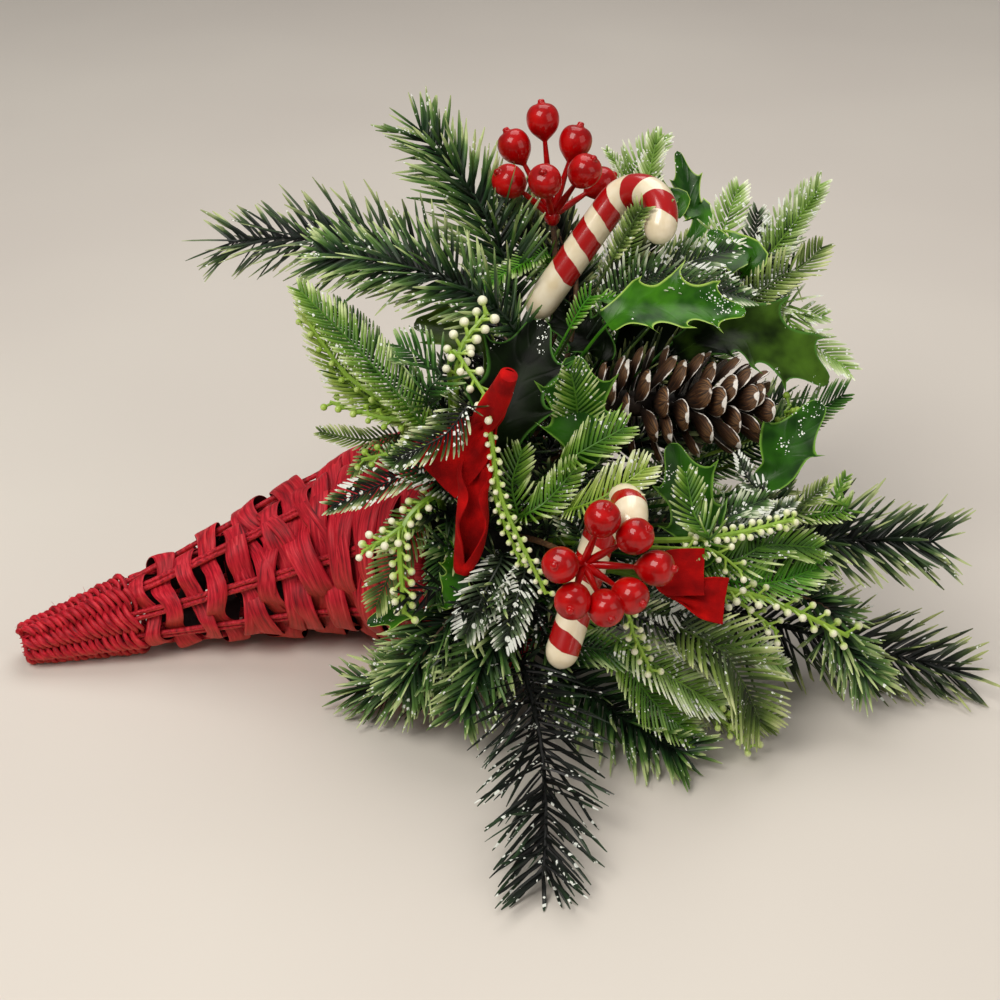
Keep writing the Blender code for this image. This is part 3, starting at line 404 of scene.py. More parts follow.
def new_finish(name):
    """An empty material with its nodes."""
    made = bpy.data.materials.new(name)
    made.use_nodes = True
    return made


def surface(look, base, roughness, height=None, depth=0.0, **numbers):
    """Sets a material's colour, roughness, a bump of a real depth and plain numbers, and gives it back."""
    inputs = look.node_tree.nodes["Principled BSDF"].inputs
    sockets = {"Base Color": base}
    if isinstance(roughness, bpy.types.NodeSocket):
        sockets["Roughness"] = roughness
    else:
        inputs["Roughness"].default_value = roughness
    if height is not None:
        sockets["Normal"] = node(look, "Bump", Height=height, Strength=1.0, Distance=depth)
    for name, socket in sockets.items():
        look.node_tree.links.new(socket, inputs[name])
    for name, value in numbers.items():
        inputs[name.replace("_", " ")].default_value = value
    return look


def dyed_reed(name, grain_lines):
    """Rattan reed dyed crimson: matte, with long fibre lines, and painted near-black shade on the side
    inside the horn.

    The dye pools darker in places, and the sides that face down are tinted orange as painted light bounced
    off the floor.
    """
    look = new_finish(name)
    uv = node(look, "UVMap")
    drawn_out = node(look, "Mapping", uv, Scale=(60.0, grain_lines, 1.0))
    fibre = node(look, "TexNoise", drawn_out, Scale=1.0, Detail=3.0, Roughness=0.6)
    pool = node(look, "TexNoise", node(look, "TexCoord", output="Object"), Scale=70.0, Detail=2.0)
    dye = node(look, "ValToRGB", fibre,
               stops=((0.30, "#620616"), (0.46, "#AC1024"), (0.60, "#CC2636"), (0.80, "#E05654")))
    tint = node(look, "ValToRGB", pool, stops=((0.36, "#B6455E"), (0.55, "#FFFFFF"), (0.72, "#F0A088")))
    mixed = node(look, "Mix", 0.42, numbered={FIRST: dye, SECOND: tint}, blend_type="MULTIPLY", **COLOURS)
    # Painted bounce light: faces turned down are mixed towards orange, as if lit from the warm floor
    facing = node(look, "SeparateXYZ", node(look, "NewGeometry", output="Normal"), output="Z")
    under = node(look, "MapRange", facing, 0.25, -0.65)
    share = node(look, "Math", under, 0.60, operation="MULTIPLY")
    floor_bounce_tinted = node(look, "Mix", share, numbered={FIRST: mixed, SECOND: colour("#C4503A")}, **COLOURS)
    # Painted shade: faces marked as turned into the horn are mixed to near black, for the shadow inside it
    inner = node(look, "Math", node(look, "SeparateXYZ", uv, output="Y"), INNER_FACE * 0.8,
                 operation="GREATER_THAN")
    with_painted_inside_shade = node(look, "Mix", inner, numbered={FIRST: floor_bounce_tinted, SECOND: colour("#1E0406")}, **COLOURS)
    rough = node(look, "MapRange", fibre, 0.0, 1.0, 0.66, 0.46)
    return surface(look, with_painted_inside_shade, rough, fibre, 0.35 * MM, Specular_IOR_Level=0.25)


def snow(look, base, amount, start, fleck):
    """Flecks of white paint: cells whose middle is near, where a patchy noise and the blade's tip allow."""
    place = node(look, "TexCoord", output="Object")
    cells = node(look, "TexVoronoi", place, Scale=1.0 / (fleck * 2.6 * MM)).node.outputs
    patch = node(look, "TexNoise", place, Scale=1.0 / (9.0 * MM), Detail=3.0)
    reach = node(look, "MapRange", node(look, "SeparateColor", cells["Color"]), 0.0, 1.0, 0.06, 0.42)
    spot = node(look, "Math", cells["Distance"], reach, operation="LESS_THAN")
    along = node(look, "SeparateXYZ", node(look, "UVMap"))
    tip = node(look, "MapRange", along, start, 1.0, 0.0, 0.22)
    level = node(look, "Math", patch, tip, operation="ADD")
    painted = node(look, "Math", level, 1.0 - amount, operation="GREATER_THAN")
    solid = node(look, "Math", level, 1.24 - amount, operation="GREATER_THAN")
    flecked = node(look, "Math", painted, spot, operation="MULTIPLY")
    cover = node(look, "Math", flecked, solid, operation="MAXIMUM")
    return node(look, "Mix", cover, numbered={FIRST: base, SECOND: colour("#E6ECE4")}, **COLOURS)


def moulded_green(name, tones, *paint):
    """Moulded polyethylene foliage: satin, sprayed darker at the base of a blade and paler at its tip."""
    look = new_finish(name)
    u, v, _ = node(look, "SeparateXYZ", node(look, "UVMap")).node.outputs
    mottle = node(look, "TexNoise", node(look, "TexCoord", output="Object"), Scale=1.0 / (14.0 * MM),
                  Detail=2.0)
    shift = node(look, "MapRange", mottle, 0.3, 0.7, -0.16, 0.16)
    run = node(look, "Math", u, shift, operation="ADD")
    paler = node(look, "Math", v, 0.30, run, operation="MULTIPLY_ADD")
    ramp = node(look, "Math", paler, -0.15, operation="ADD")
    tone = node(look, "ValToRGB", ramp, stops=tuple(zip((0.0, 0.38, 0.74, 0.99), tones)))
    level = node(look, "MapRange", v, 0.0, 1.0, 0.78, 1.18)
    varied = node(look, "HueSaturation", Value=level, Color=tone)
    return surface(look, snow(look, varied, *paint), 0.42, mottle, 0.1 * MM, Specular_IOR_Level=0.28)


def glossy_leaf(name, inner, outer, margin, snow_amount, shine=0.20, paler_tip=0.0):
    """Moulded holly leaf: glossy plastic with pressed veins, a paler cut margin and a few paint flecks.

    With a paler tip the leaf goes from its inner to its outer tone on the way to its point.
    """
    look = new_finish(name)
    u, v, _ = node(look, "SeparateXYZ", node(look, "UVMap")).node.outputs
    mottle = node(look, "TexNoise", node(look, "TexCoord", output="Object"), Scale=1.0 / (11.0 * MM),
                  Detail=2.0)
    rim = node(look, "Math", v, operation="ABSOLUTE")
    tip_tone = node(look, "Math", u, paler_tip, mottle, operation="MULTIPLY_ADD")
    shade = node(look, "Math", tip_tone, -0.6 * paler_tip, operation="ADD")
    body = node(look, "ValToRGB", shade,
                stops=((0.34 - 0.2 * paler_tip, inner), (0.66 + 0.4 * paler_tip, outer)))
    edge = node(look, "MapRange", rim, 0.87, 0.97)
    edged = node(look, "Mix", edge, numbered={FIRST: body, SECOND: colour(margin)}, **COLOURS)
    slant = node(look, "Math", rim, -0.22, u, operation="MULTIPLY_ADD")
    wave = node(look, "Math", node(look, "Math", slant, TURN * 3.5, operation="MULTIPLY"), operation="SINE")
    vein = node(look, "Math", wave, 14.0, operation="POWER")
    midrib = node(look, "Math", rim, 0.06, operation="LESS_THAN")
    relief = node(look, "Math", vein, midrib, operation="MAXIMUM")
    return surface(look, snow(look, edged, snow_amount, 0.3, 0.40), 0.30, relief, 0.05 * MM,
                   Specular_IOR_Level=shine)


def lime_sprig():
    """Moulded sprig: lime stems whose rounded beads are dipped in cream paint."""
    look = new_finish("moulded_sprig_dipped_in_cream")
    along = node(look, "SeparateXYZ", node(look, "UVMap"))
    mottle = node(look, "TexNoise", node(look, "TexCoord", output="Object"),
                  Scale=1.0 / (5.0 * MM), Detail=2.0)
    shift = node(look, "MapRange", mottle, 0.0, 1.0, -0.25, 0.25)
    tone = node(look, "ValToRGB", node(look, "Math", along, shift, operation="ADD"),
                stops=((0.0, "#6A9424"), (0.42, "#98BA40"), (0.62, "#C8DA88"), (0.80, "#EFEFD4")))
    return surface(look, tone, 0.38, mottle, 0.05 * MM)


def lacquered_berry():
    """Turned foam berry under thick red lacquer: wet gloss, deeper red where the lacquer pools."""
    look = new_finish("lacquered_red_berry")
    pool = node(look, "TexNoise", node(look, "TexCoord", output="Object"),
                Scale=1.0 / (7.0 * MM), Detail=3.0)
    tone = node(look, "ValToRGB", pool, stops=((0.35, "#8C0001"), (0.55, "#AC0002"), (0.75, "#BE0604")))
    return surface(look, tone, 0.45, pool, 0.25 * MM, Specular_IOR_Level=0.10, Coat_Weight=0.8,
                   Coat_IOR=1.42, Coat_Roughness=0.04)


def candy_gloss(name, last_band):
    """Cast plastic cane in warm cream with hand-painted red bands that run round it as a screw does.

    U counts bands along the cane and V turns round it. Paint lies between the first and the last band.
    """
    look = new_finish(name)
    u, v, _ = node(look, "SeparateXYZ", node(look, "UVMap")).node.outputs
    waver = node(look, "TexNoise", node(look, "TexCoord", output="Object"),
                 Scale=1.0 / (6.0 * MM), Detail=2.0)
    shift = node(look, "MapRange", waver, 0.0, 1.0, -0.06, 0.06)
    screw = node(look, "Math", u, v, operation="SUBTRACT")
    part = node(look, "Math", node(look, "Math", screw, shift, operation="ADD"), operation="FRACT")
    edge = node(look, "MapRange", part, 0.435, 0.45)
    band = node(look, "MapRange", part, 0.985, 0.998, 1.0, 0.0)
    ring = node(look, "Math", edge, band, operation="MULTIPLY")
    inside = node(look, "Math", u, (FIRST_BAND + last_band) / 2, (last_band - FIRST_BAND) / 2,
                  operation="COMPARE")
    painted = node(look, "Math", ring, inside, operation="MULTIPLY")
    cream = node(look, "ValToRGB", waver, stops=((0.3, "#E2D2AE"), (0.7, "#F0E6CC")))
    tone = node(look, "Mix", painted, numbered={FIRST: cream, SECOND: colour("#A80A0C")}, **COLOURS)
    return surface(look, tone, 0.22, painted, 0.1 * MM, Coat_Weight=0.5, Coat_Roughness=0.08)


def velvet():
    """Red velvet ribbon: short pile that darkens in the folds and glows at a glancing angle."""
    look = new_finish("red_velvet_ribbon")
    place = node(look, "TexCoord", output="Object")
    brushed = node(look, "TexNoise", place, Scale=1.0 / (8.0 * MM), Detail=2.0)
    pile = node(look, "TexNoise", place, Scale=1.0 / (0.35 * MM), Detail=1.0)
    tone = node(look, "ValToRGB", brushed, stops=((0.32, "#800002"), (0.55, "#A60203"), (0.75, "#C80A06")))
    return surface(look, tone, 0.85, pile, 0.15 * MM, Specular_IOR_Level=0.15, Sheen_Weight=0.22,
                   Sheen_Roughness=0.35, Sheen_Tint=colour("#FF5040"))


def cone_wood():
    """Pinecone scales: grey-brown wood grained along the scale, painted shade at its base, white paint on
    the outer rim.
    """
    look = new_finish("pinecone_scale_with_painted_rim")
    u, v, _ = node(look, "SeparateXYZ", node(look, "UVMap")).node.outputs
    grain = node(look, "CombineXYZ", node(look, "Math", u, 2.0, operation="MULTIPLY"),
                 node(look, "Math", v, 9.0, operation="MULTIPLY"))
    streak = node(look, "TexNoise", grain, Scale=1.4, Detail=3.0)
    tone = node(look, "ValToRGB", streak, stops=((0.30, "#1C1008"), (0.50, "#4C321C"), (0.72, "#90693F")))
    # Painted shade: each scale darkens towards its base, deep under the scales over it
    shade = node(look, "ValToRGB", u, stops=((0.30, "#20140E"), (0.72, "#B09678"), (0.88, "#FFFFFF")))
    # wood is the grain tone times the painted shade
    wood = node(look, "Mix", 0.85, numbered={FIRST: tone, SECOND: shade}, blend_type="MULTIPLY", **COLOURS)
    patch = node(look, "TexNoise", node(look, "TexCoord", output="Object"),
                 Scale=1.0 / (6.0 * MM), Detail=3.0)
    side = node(look, "Math", node(look, "Math", v, operation="ABSOLUTE"), -0.04, operation="ADD")
    end = node(look, "Math", u, -0.035, operation="ADD")
    rim = node(look, "MapRange", node(look, "Math", side, end, operation="MAXIMUM"), 0.85, 0.97, 0.0, 0.48)
    painted = node(look, "MapRange", node(look, "Math", patch, rim, operation="ADD"), 0.82, 0.88)
    base = node(look, "Mix", painted, numbered={FIRST: wood, SECOND: colour("#E8E4DC")}, **COLOURS)
    return surface(look, base, 0.62, streak, 0.3 * MM)


def foam_cells():
    """Floral foam: dark green phenolic foam with fine torn cells, drawn at 1.5 mm so that they show, in
    painted shade in each hollow.
    """
    look = new_finish("dark_floral_foam")
    cells = node(look, "TexVoronoi", node(look, "TexCoord", output="Object"), Scale=1.0 / (1.5 * MM),
                 output="Distance")
    # Painted shade: the tone darkens towards each cell's middle, where the bump makes its hollow
    tone = node(look, "ValToRGB", cells, stops=((0.0, "#040603"), (0.7, "#0E130B")))
    return surface(look, tone, 0.95, cells, 0.5 * MM)


def stem_tape():
    """Floral tape over wire: waxy crepe paper wound in a close spiral, brown and slightly creased."""
    look = new_finish("brown_floral_tape")
    along = node(look, "SeparateXYZ", node(look, "UVMap"))
    crease = node(look, "TexNoise", node(look, "TexCoord", output="Object"),
                  Scale=1.0 / (1.2 * MM), Detail=2.0)
    lap = node(look, "Math", node(look, "Math", along, 14.0, operation="MULTIPLY"), operation="FRACT")
    tone = node(look, "ValToRGB", crease, stops=((0.3, "#2C1C10"), (0.6, "#5A3D22"), (0.8, "#7A5A38")))
    return surface(look, tone, 0.6, lap, 0.25 * MM)


def backdrop_card():
    """Matte pale card under and behind the basket, faintly mottled as plain lining paper is."""
    look = new_finish("pale_matte_card")
    mottle = node(look, "TexNoise", node(look, "TexCoord", output="Object"), Scale=3.0, Detail=2.0)
    tone = node(look, "ValToRGB", mottle, stops=((0.3, "#CFC9C1"), (0.7, "#D6D1C8")))
    return surface(look, tone, 0.9)


FLAT_REED = dyed_reed("dyed_flat_reed", 3.0)
ROUND_REED_DYED = dyed_reed("dyed_round_reed", 2.0)
TAPE = stem_tape()

# Greens: tones from a blade's base to its tip, then how much snow, where it starts and its flecks' size
GREENS = {
    "green": ("pine_needles_green", ("#08140A", "#1E3C1C", "#527634", "#ACBC80"), 0.31, 0.1, 0.7),
    "dark": ("pine_needles_dark", ("#060A08", "#132216", "#3C542C", "#A2AE78"), 0.24, 0.2, 0.7),
    "black": ("pine_needles_black", ("#040605", "#090E0B", "#101A12", "#243A22"), 0.40, 0.1, 1.0),
    "tipped": ("pine_needles_tipped", ("#050706", "#0E1610", "#30421F", "#A0AA6C"), 0.26, 0.1, 1.0),
    "fresh": ("fern_fresh_green", ("#264E0E", "#447018", "#6E9232", "#BCCC90"), 0.34, 0.3, 0.7),
    "deep": ("fern_deep_green", ("#0C1E08", "#204614", "#42702A", "#9CB478"), 0.30, 0.3, 0.7),
    "olive": ("fern_olive", ("#141E0A", "#3A501A", "#748A42", "#B8C288"), 0.30, 0.2, 0.7),
    "lime": ("fern_lime", ("#507A16", "#749230", "#98AC54", "#D2DCAC"), 0.34, 0.3, 0.7),
    "pale": ("fern_pale_green", ("#365A1A", "#6C9238", "#A2BC76", "#E2EACE"), 0.44, 0.2, 0.7),
    "frosted": ("fern_frosted", ("#080E08", "#183014", "#466A2E", "#C4CEB2"), 0.46, 0.0, 1.2),
    "snowy": ("fern_snowy", ("#080D08", "#182614", "#5C7050", "#D8DCD0"), 0.52, 0.0, 1.2),
    "painted": ("fern_painted_black", ("#040604", "#0A1008", "#3A5220", "#B8C294"), 0.44, 0.0, 1.0),
    "bright": ("fern_bright_green", ("#2A6A0C", "#46861A", "#6A9C34", "#B8CC90"), 0.28, 0.4, 0.7),
}
# Hollies: tones of the inner part, the outer part and the margin, snow, then shine and a paler tip
HOLLIES = {
    "holly_dark": ("holly_dark_green", "#060B04", "#101C09", "#42702A", 0.24, 0.05),
    # The next leaf is darker at its stem and paler towards its tip
    "holly_paler_at_tip": ("holly_green_paler_at_tip", "#0A1406", "#4C7020", "#42702A", 0.24, 0.08, 0.55),
    "holly_bright": ("holly_bright_green", "#143F06", "#3C7810", "#A6C85C", 0.30),
    "holly_mid": ("holly_mid_green", "#123208", "#28580E", "#6C9A38", 0.30, 0.12),
    "holly_olive": ("holly_olive_green", "#2A3E0C", "#4A6414", "#7E9A40", 0.26),
}
LOOKS = {look: moulded_green(*row) for look, row in GREENS.items()}
LOOKS |= {look: glossy_leaf(*row) for look, row in HOLLIES.items()}
LIME = lime_sprig()


# Wicker

WEAVER_STATIONS = 288
STRIP_SIDES = 14
REED_SIDES = 10
# Rows from which a second and a third reed lie over the first
SECOND_PLY_ROW = 4
THIRD_PLY_ROW = 9
# How much wider a reed is, as a share, where the weave faces away from the camera
FAR_SIDE_WIDENING = 0.45
WINDING_SIDES = 8
WINDING_STATIONS_A_TURN = 56
LOOSE_FIBRES = 90


def strip_rings(point, across, normal, half_width, half_thickness, dome):
    """Rings of a flat reed: a rounded oblong, |cos| and |sin| to low powers, domed towards the normal."""
    turn = turns(STRIP_SIDES, 1)
    wide = np.sign(np.cos(turn)) * np.abs(np.cos(turn)) ** 0.65
    high = np.sign(np.sin(turn)) * np.abs(np.sin(turn)) ** 0.75
    offset = (across[:, None] * (wide[:-1] * half_width[:, None])[..., None]
              + normal[:, None] * (high[:-1] * half_thickness + dome * (1.0 - wide[:-1] ** 2))[:, None])
    # Faces turned into the horn get INNER_FACE added to V, so that the finish paints shade on them
    return point[:, None] + offset, wide + np.where(np.sin(turn) < -0.01, INNER_FACE, 0.0)


def make_stakes():
    """Eight stakes of two round reeds side by side, which part a little and touch again on their way."""
    share = np.linspace(0.0, 1.0, 160)
    for number in range(STAKE_COUNT):
        shape = Shape()
        for reed in (-1.0, 1.0):
            radius = horn.at(share)[4]
            half = np.minimum(ROUND_REED, STAKE_PINCH * math.pi * radius / STAKE_COUNT)
            waver = 1.0 + 0.10 * np.sin(share * 31.0 + number * 1.7 + reed)
            angle = STAKE_TURN + number * TURN / STAKE_COUNT + reed * half * 0.52 * waver / radius
            lift = 0.15 * MM * np.sin(share * 40.0 + reed * 2.0 + number)
            point, normal, _, around = horn.wall(share, angle, lift)
            thick = half / 2 * (1.0 + 0.06 * np.sin(share * 57.0 + number * 2.1 + reed))
            thick = thick * np.sqrt(np.clip((1.02 - np.abs(share * 2.0 - 1.0) ** 24), 0.02, 1.0))
            shape.add(rings_round(point, around, normal, thick, REED_SIDES), (share * 2.4)[:, None],
                      np.cos(turns(REED_SIDES, 1)) * 0.5)
        name = f"stake_{number + 1}"
        make_piece(name + "_reeds", shape, [ROUND_REED_DYED], [name])


def make_weavers():
    """Sixteen rows of flat reed, each a ring that swings out over one stake and in under the next.

    From the fifth row on a second reed lies half beside and half over the first, and from the tenth a
    third, as reeds bunch where a horn widens. Each wanders along the horn, swells and rolls by sums of
    sines, and is wider on the sides turned from the camera, where the weave is closed.
    """
    pitch = (WEAVER_END - WEAVER_START) / (WEAVER_COUNT - 1)
    turn = turns(WEAVER_STATIONS)
    angle = STAKE_TURN + turn
    for row in range(WEAVER_COUNT):
        shape = Shape()
        for ply in range(1 + (row >= SECOND_PLY_ROW) + (row >= THIRD_PLY_ROW)):
            draw = np.random.default_rng(40 + row + 50 * ply)
            phase = draw.random(8) * TURN
            swing = np.cos(turn * STAKE_COUNT / 2 + math.pi * row)
            lift = np.tanh(1.5 * swing) / math.tanh(1.5) * (WEAVER_LIFT + 0.4 * MM)
            lift += 0.35 * MM * np.sin(3.0 * turn + phase[0]) * np.maximum(swing, 0.0)
            lift += ply * (0.5 + 0.4 * np.sin(2 * turn + phase[1])) * MM * np.tanh(4.0 * (swing + 0.4))
            drift = (0.12 * np.sin(turn + phase[1]) + 0.10 * np.sin(2 * turn + phase[2])
                     + 0.10 * np.sin(5 * turn + phase[3])
                     + 0.16 * np.sin(turn * STAKE_COUNT / 2 + phase[4]))
            drift += ply * (0.42 + 0.10 * np.sin(3 * turn + phase[5]))
            share = np.clip(WEAVER_START + pitch * (row + drift), 0.0, WEAVER_END + 0.008)
            room = np.linalg.norm(horn.surface(np.minimum(share + pitch / 2, 1.0), angle)[0]
                                  - horn.surface(share - pitch / 2, angle)[0], axis=1)
            point, normal, rise, _ = horn.wall(share, angle, lift)
            swell = 1.0 + 0.10 * np.sin(turn + phase[5]) + 0.08 * np.sin(4 * turn + phase[6])
            close = 1.0 + FAR_SIDE_WIDENING * np.clip(0.75 - normal @ VIEW_BACK, 0.0, 1.0)
            half = np.minimum(FLAT_REED_WIDTH * swell, room * 1.02) / 2 * close
            roll = 0.20 * np.sin(2 * turn + phase[7]) + 0.16 * np.sin(6 * turn + phase[0])
            rings, wide = strip_rings(point, swung(rise, normal, roll), swung(normal, -rise, roll), half,
                                      FLAT_REED_THICKNESS / 2, 0.30 * MM)
            rings[..., 2] = np.maximum(rings[..., 2], 0.15 * MM)
            run = np.arange(WEAVER_STATIONS + 1)[:, None] / WEAVER_STATIONS * TURN * 0.035 + row * 0.13
            shape.add(rings, run, wide + row * 3.7 + ply, joined=True)
        name = f"weaver_row_{row + 1:02d}"
        make_piece(name + "_flat_reed", shape, [FLAT_REED], [name])


def make_tail():
    """Twined round reeds: a pair wound up the tail in a spiral, turning about each other at each stake.

    Each reed circles the spiral's middle line once every two stakes, so it is outside one stake, where it
    slants across it, and inside the next. Fine broken fibres stand off the reeds.
    """
    count = WINDING_TURNS * WINDING_STATIONS_A_TURN + 1
    share = np.linspace(ROUND_REED / HORN_LENGTH, WINDING_END, count)
    angle = STAKE_TURN + np.linspace(0.0, WINDING_TURNS * TURN, count)
    shape = Shape()
    lines = []
    for strand in (0.0, math.pi):
        spin = (angle - STAKE_TURN) * STAKE_COUNT / 2 + strand
        swell = 0.72 + 0.28 * smooth_step(share / 0.08)
        reach = ROUND_REED * (1.18 + 0.16 * np.sin(angle * 1.31 + strand))
        out = ROUND_REED * 0.42 + reach * np.cos(spin) * swell
        shift = -ROUND_REED * 1.15 * np.sin(spin) / HORN_LENGTH
        point, normal, rise, _ = horn.wall(np.maximum(share + shift, 0.0), angle, out)
        point = point + rise * (0.12 * MM * np.sin(angle * 3.7 + strand))[:, None]
        along = unit(np.gradient(point, axis=0))
        over = unit(normal - along * (normal * along).sum(axis=1)[:, None])
        across = np.cross(along, over)
        thick = ROUND_REED * 0.46 * (1.0 + 0.34 * np.cos(spin) + 0.09 * np.sin(angle * 2.3 + strand))
        grid = rings_round(point, across, over, thick, WINDING_SIDES)
        grid[..., 2] = np.maximum(grid[..., 2], 0.1 * MM)
        shape.add(grid, (angle * 0.05)[:, None], np.cos(turns(WINDING_SIDES, 1)) * 0.4)
        lines.append((point, normal, along))
    draw = np.random.default_rng(7)
    for point, normal, along in lines:
        pick = draw.integers(0, count, LOOSE_FIBRES)
        lean = unit(normal[pick] * 0.9 + along[pick] * draw.normal(0.0, 0.9, (LOOSE_FIBRES, 1))
                    + draw.normal(0.0, 0.35, (LOOSE_FIBRES, 3)))
        length = draw.uniform(1.5, 5.0, LOOSE_FIBRES) * MM
        bend = draw.normal(0.0, 0.9, (LOOSE_FIBRES, 3)) * MM
        shape.add(blades(point[pick], lean, unit(np.cross(lean, UP)), length,
                         np.full(LOOSE_FIBRES, 0.13 * MM), bend, NEEDLE_PROFILE),
                  BLADE_STATIONS[:, None], draw.random((LOOSE_FIBRES, 1, 1)))
    make_piece("tail_winding_reeds", shape, [ROUND_REED_DYED], ["tail_winding"])


def make_hoop():
    """The mouth hoop: a round reed under a narrow strip wound round it, cut flat where it stands."""
    rings, sides, laps = 720, 12, 54
    turn = turns(rings)
    centre, along, up, side, _ = horn.at(1.0)
    outward = swung(up, side, turn)
    middle = centre + along * HOOP_STANDOFF + outward * horn.hoop_radius
    spin = turns(sides)
    lap = np.abs(np.sin(turn[:, None] * laps / 2 + spin * 0.5))
    radius = HOOP_DIAMETER / 2 * (0.90 + 0.12 * lap ** 0.4)
    grid = middle[:, None] + swung(outward[:, None], along, spin) * radius[..., None]
    grid[..., 2] = np.maximum(grid[..., 2], 0.0)
    shape = Shape()
    shape.add(grid, (np.arange(rings + 1) * 0.01)[:, None], np.cos(turns(sides, 1)) * 0.5, joined=True)
    make_piece("mouth_hoop_wrapped", shape, [ROUND_REED_DYED], ["mouth_hoop"])


def make_foam():
    """The foam: rings from inside the mouth, then a dome of the crown's radius, with a torn surface."""
    sides = 72
    turn = turns(sides)
    centre, _, up, side, radius = horn.at(np.linspace(1.0 - FOAM_DEPTH, 1.0, 12))
    wall = rings_round(centre, up, side, radius - INNER_WALL, sides)
    edge = math.acos((crown.radius - CROWN_HEIGHT) / crown.radius)
    lean = np.linspace(edge, 0.01, 26)[1:]
    around = swung(crown.up, crown.side, turn)
    torn = 0.5 * MM * np.sin(9.0 * lean[:, None] + 5.0 * turn) * np.cos(7.0 * turn - 6.0 * lean[:, None])
    ray = swung(crown.axis, around, lean[:, None])
    dome = crown.middle + (crown.radius - np.abs(torn))[..., None] * ray
    shape = Shape()
    shape.add(np.concatenate([wall, dome]), np.linspace(0.0, 1.0, 37)[:, None], 0.0)
    make_piece("floral_foam_block", shape, [foam_cells()], ["floral_foam"])


# Greenery

# Shares of a blade's length, with its width there for a needle and for a fern's leaflet
BLADE_STATIONS = np.array([0.0, 0.28, 0.58, 0.84, 1.0])
NEEDLE_PROFILE = np.array([0.75, 1.0, 0.95, 0.78, 0.26])
LEAFLET_PROFILE = np.array([0.75, 1.0, 1.0, 0.90, 0.34])
# Height at which blades level out over the floor
FLOOR_CLEARANCE = 1.6 * MM
# How far needles hang, leaflets lean from their rib in degrees and cup out of its plane, and beads tilt
NEEDLE_DROOP = 0.04
COMB_LEAN = 60.0
COMB_TIP_LEAN = 34.0
COMB_CUP = 0.22
COMB_RIB = 1.6 * MM
BEAD_SPREAD = 0.5
# A leaflet as a share of half its comb's width, a bead of its listed diameter and a sprig's stem likewise
LEAFLET_SHARE = 0.98
BEAD_SHARE = 0.98
SPRIG_STEM_SHARE = 1.2
# Holly blade: fold along its middle, hollows between spines, curl at a spine and wave of its margin, as
# shares of its half width
LEAF_FOLD = 0.22
LEAF_HOLLOW = 0.56
LEAF_CURL = 0.16
LEAF_WAVE = 0.10
LEAF_THICKNESS = 0.7 * MM


def blades(base, direction, side, length, width, bend, profile, flat_share=0.5):
    """Many slim four-edged blades at once.

    A blade's middle line is its base, plus its direction times the share s of its length, plus its bend
    times s squared. Its edges stand off that line to both sides and, by a flat share, above and below it.
    """
    s = BLADE_STATIONS
    middle = (base[:, None] + direction[:, None] * (length[:, None] * s)[..., None]
              + bend[:, None] * (s ** 2)[:, None])
    normal = np.cross(direction, side) * flat_share
    ring = np.stack([side, normal, -side, -normal], axis=1)
    grid = middle[:, :, None] + (width[:, None] / 2 * profile)[..., None, None] * ring[:, None]
    low = grid[..., 2]
    grid[..., 2] = np.where(low < FLOOR_CLEARANCE, FLOOR_CLEARANCE * np.exp(
        np.minimum(low - FLOOR_CLEARANCE, 0.0) / FLOOR_CLEARANCE / 4.0), low)
    return grid


def add_stalk(shape, stem, thickness, taper=0.5, kind=0, start=0.0, end=1.0, sides=6, v=0.5):
    """A round stem that thins towards its end."""
    s = np.linspace(0.0, 1.0, 28)
    rings = stem.tube(start + (end - start) * s, thickness / 2 * (1.0 - taper * s), sides)
    shape.add(rings, (0.25 * s)[:, None], v, kind)


def add_needles(shape, stem, draw, count, length, start, kind=1, width=1.6, leans=(70.0, 44.0), flat=0.42):
    """Pine needles set round a stem by the golden angle, flattened to a spray and leaning to its tip."""
    number = np.arange(count)
    share = start + (1.0 - start) * ((number + draw.random(count)) / count) ** 0.92
    spin = number * GOLDEN_TURN + draw.normal(0.0, 0.25, count)
    base, along, over, across = stem.at(share)
    out = unit(across * np.cos(spin)[:, None] + over * (np.sin(spin) * flat + 0.10)[:, None])
    lean = np.radians(leans[0] + (leans[1] - leans[0]) * share + draw.normal(0.0, 5.0, count))
    direction = unit(swung(along, out, lean))
    reach = length * MM * (1.0 - 0.40 * share ** 3) * draw.uniform(0.78, 1.12, count)
    reach = reach * (0.60 + 0.40 * smooth_step((share - start) / 0.15))
    bend = (along * 0.10 - UP * NEEDLE_DROOP + draw.normal(0.0, 0.05, (count, 3))) * reach[:, None]
    side = unit(np.cross(direction, over + draw.normal(0.0, 0.3, (count, 3))))
    grid = blades(base, direction, side, reach, width * MM * draw.uniform(0.8, 1.15, count), bend,
                  NEEDLE_PROFILE)
    shape.add(grid, BLADE_STATIONS[:, None], draw.random((count, 1, 1)), kind)


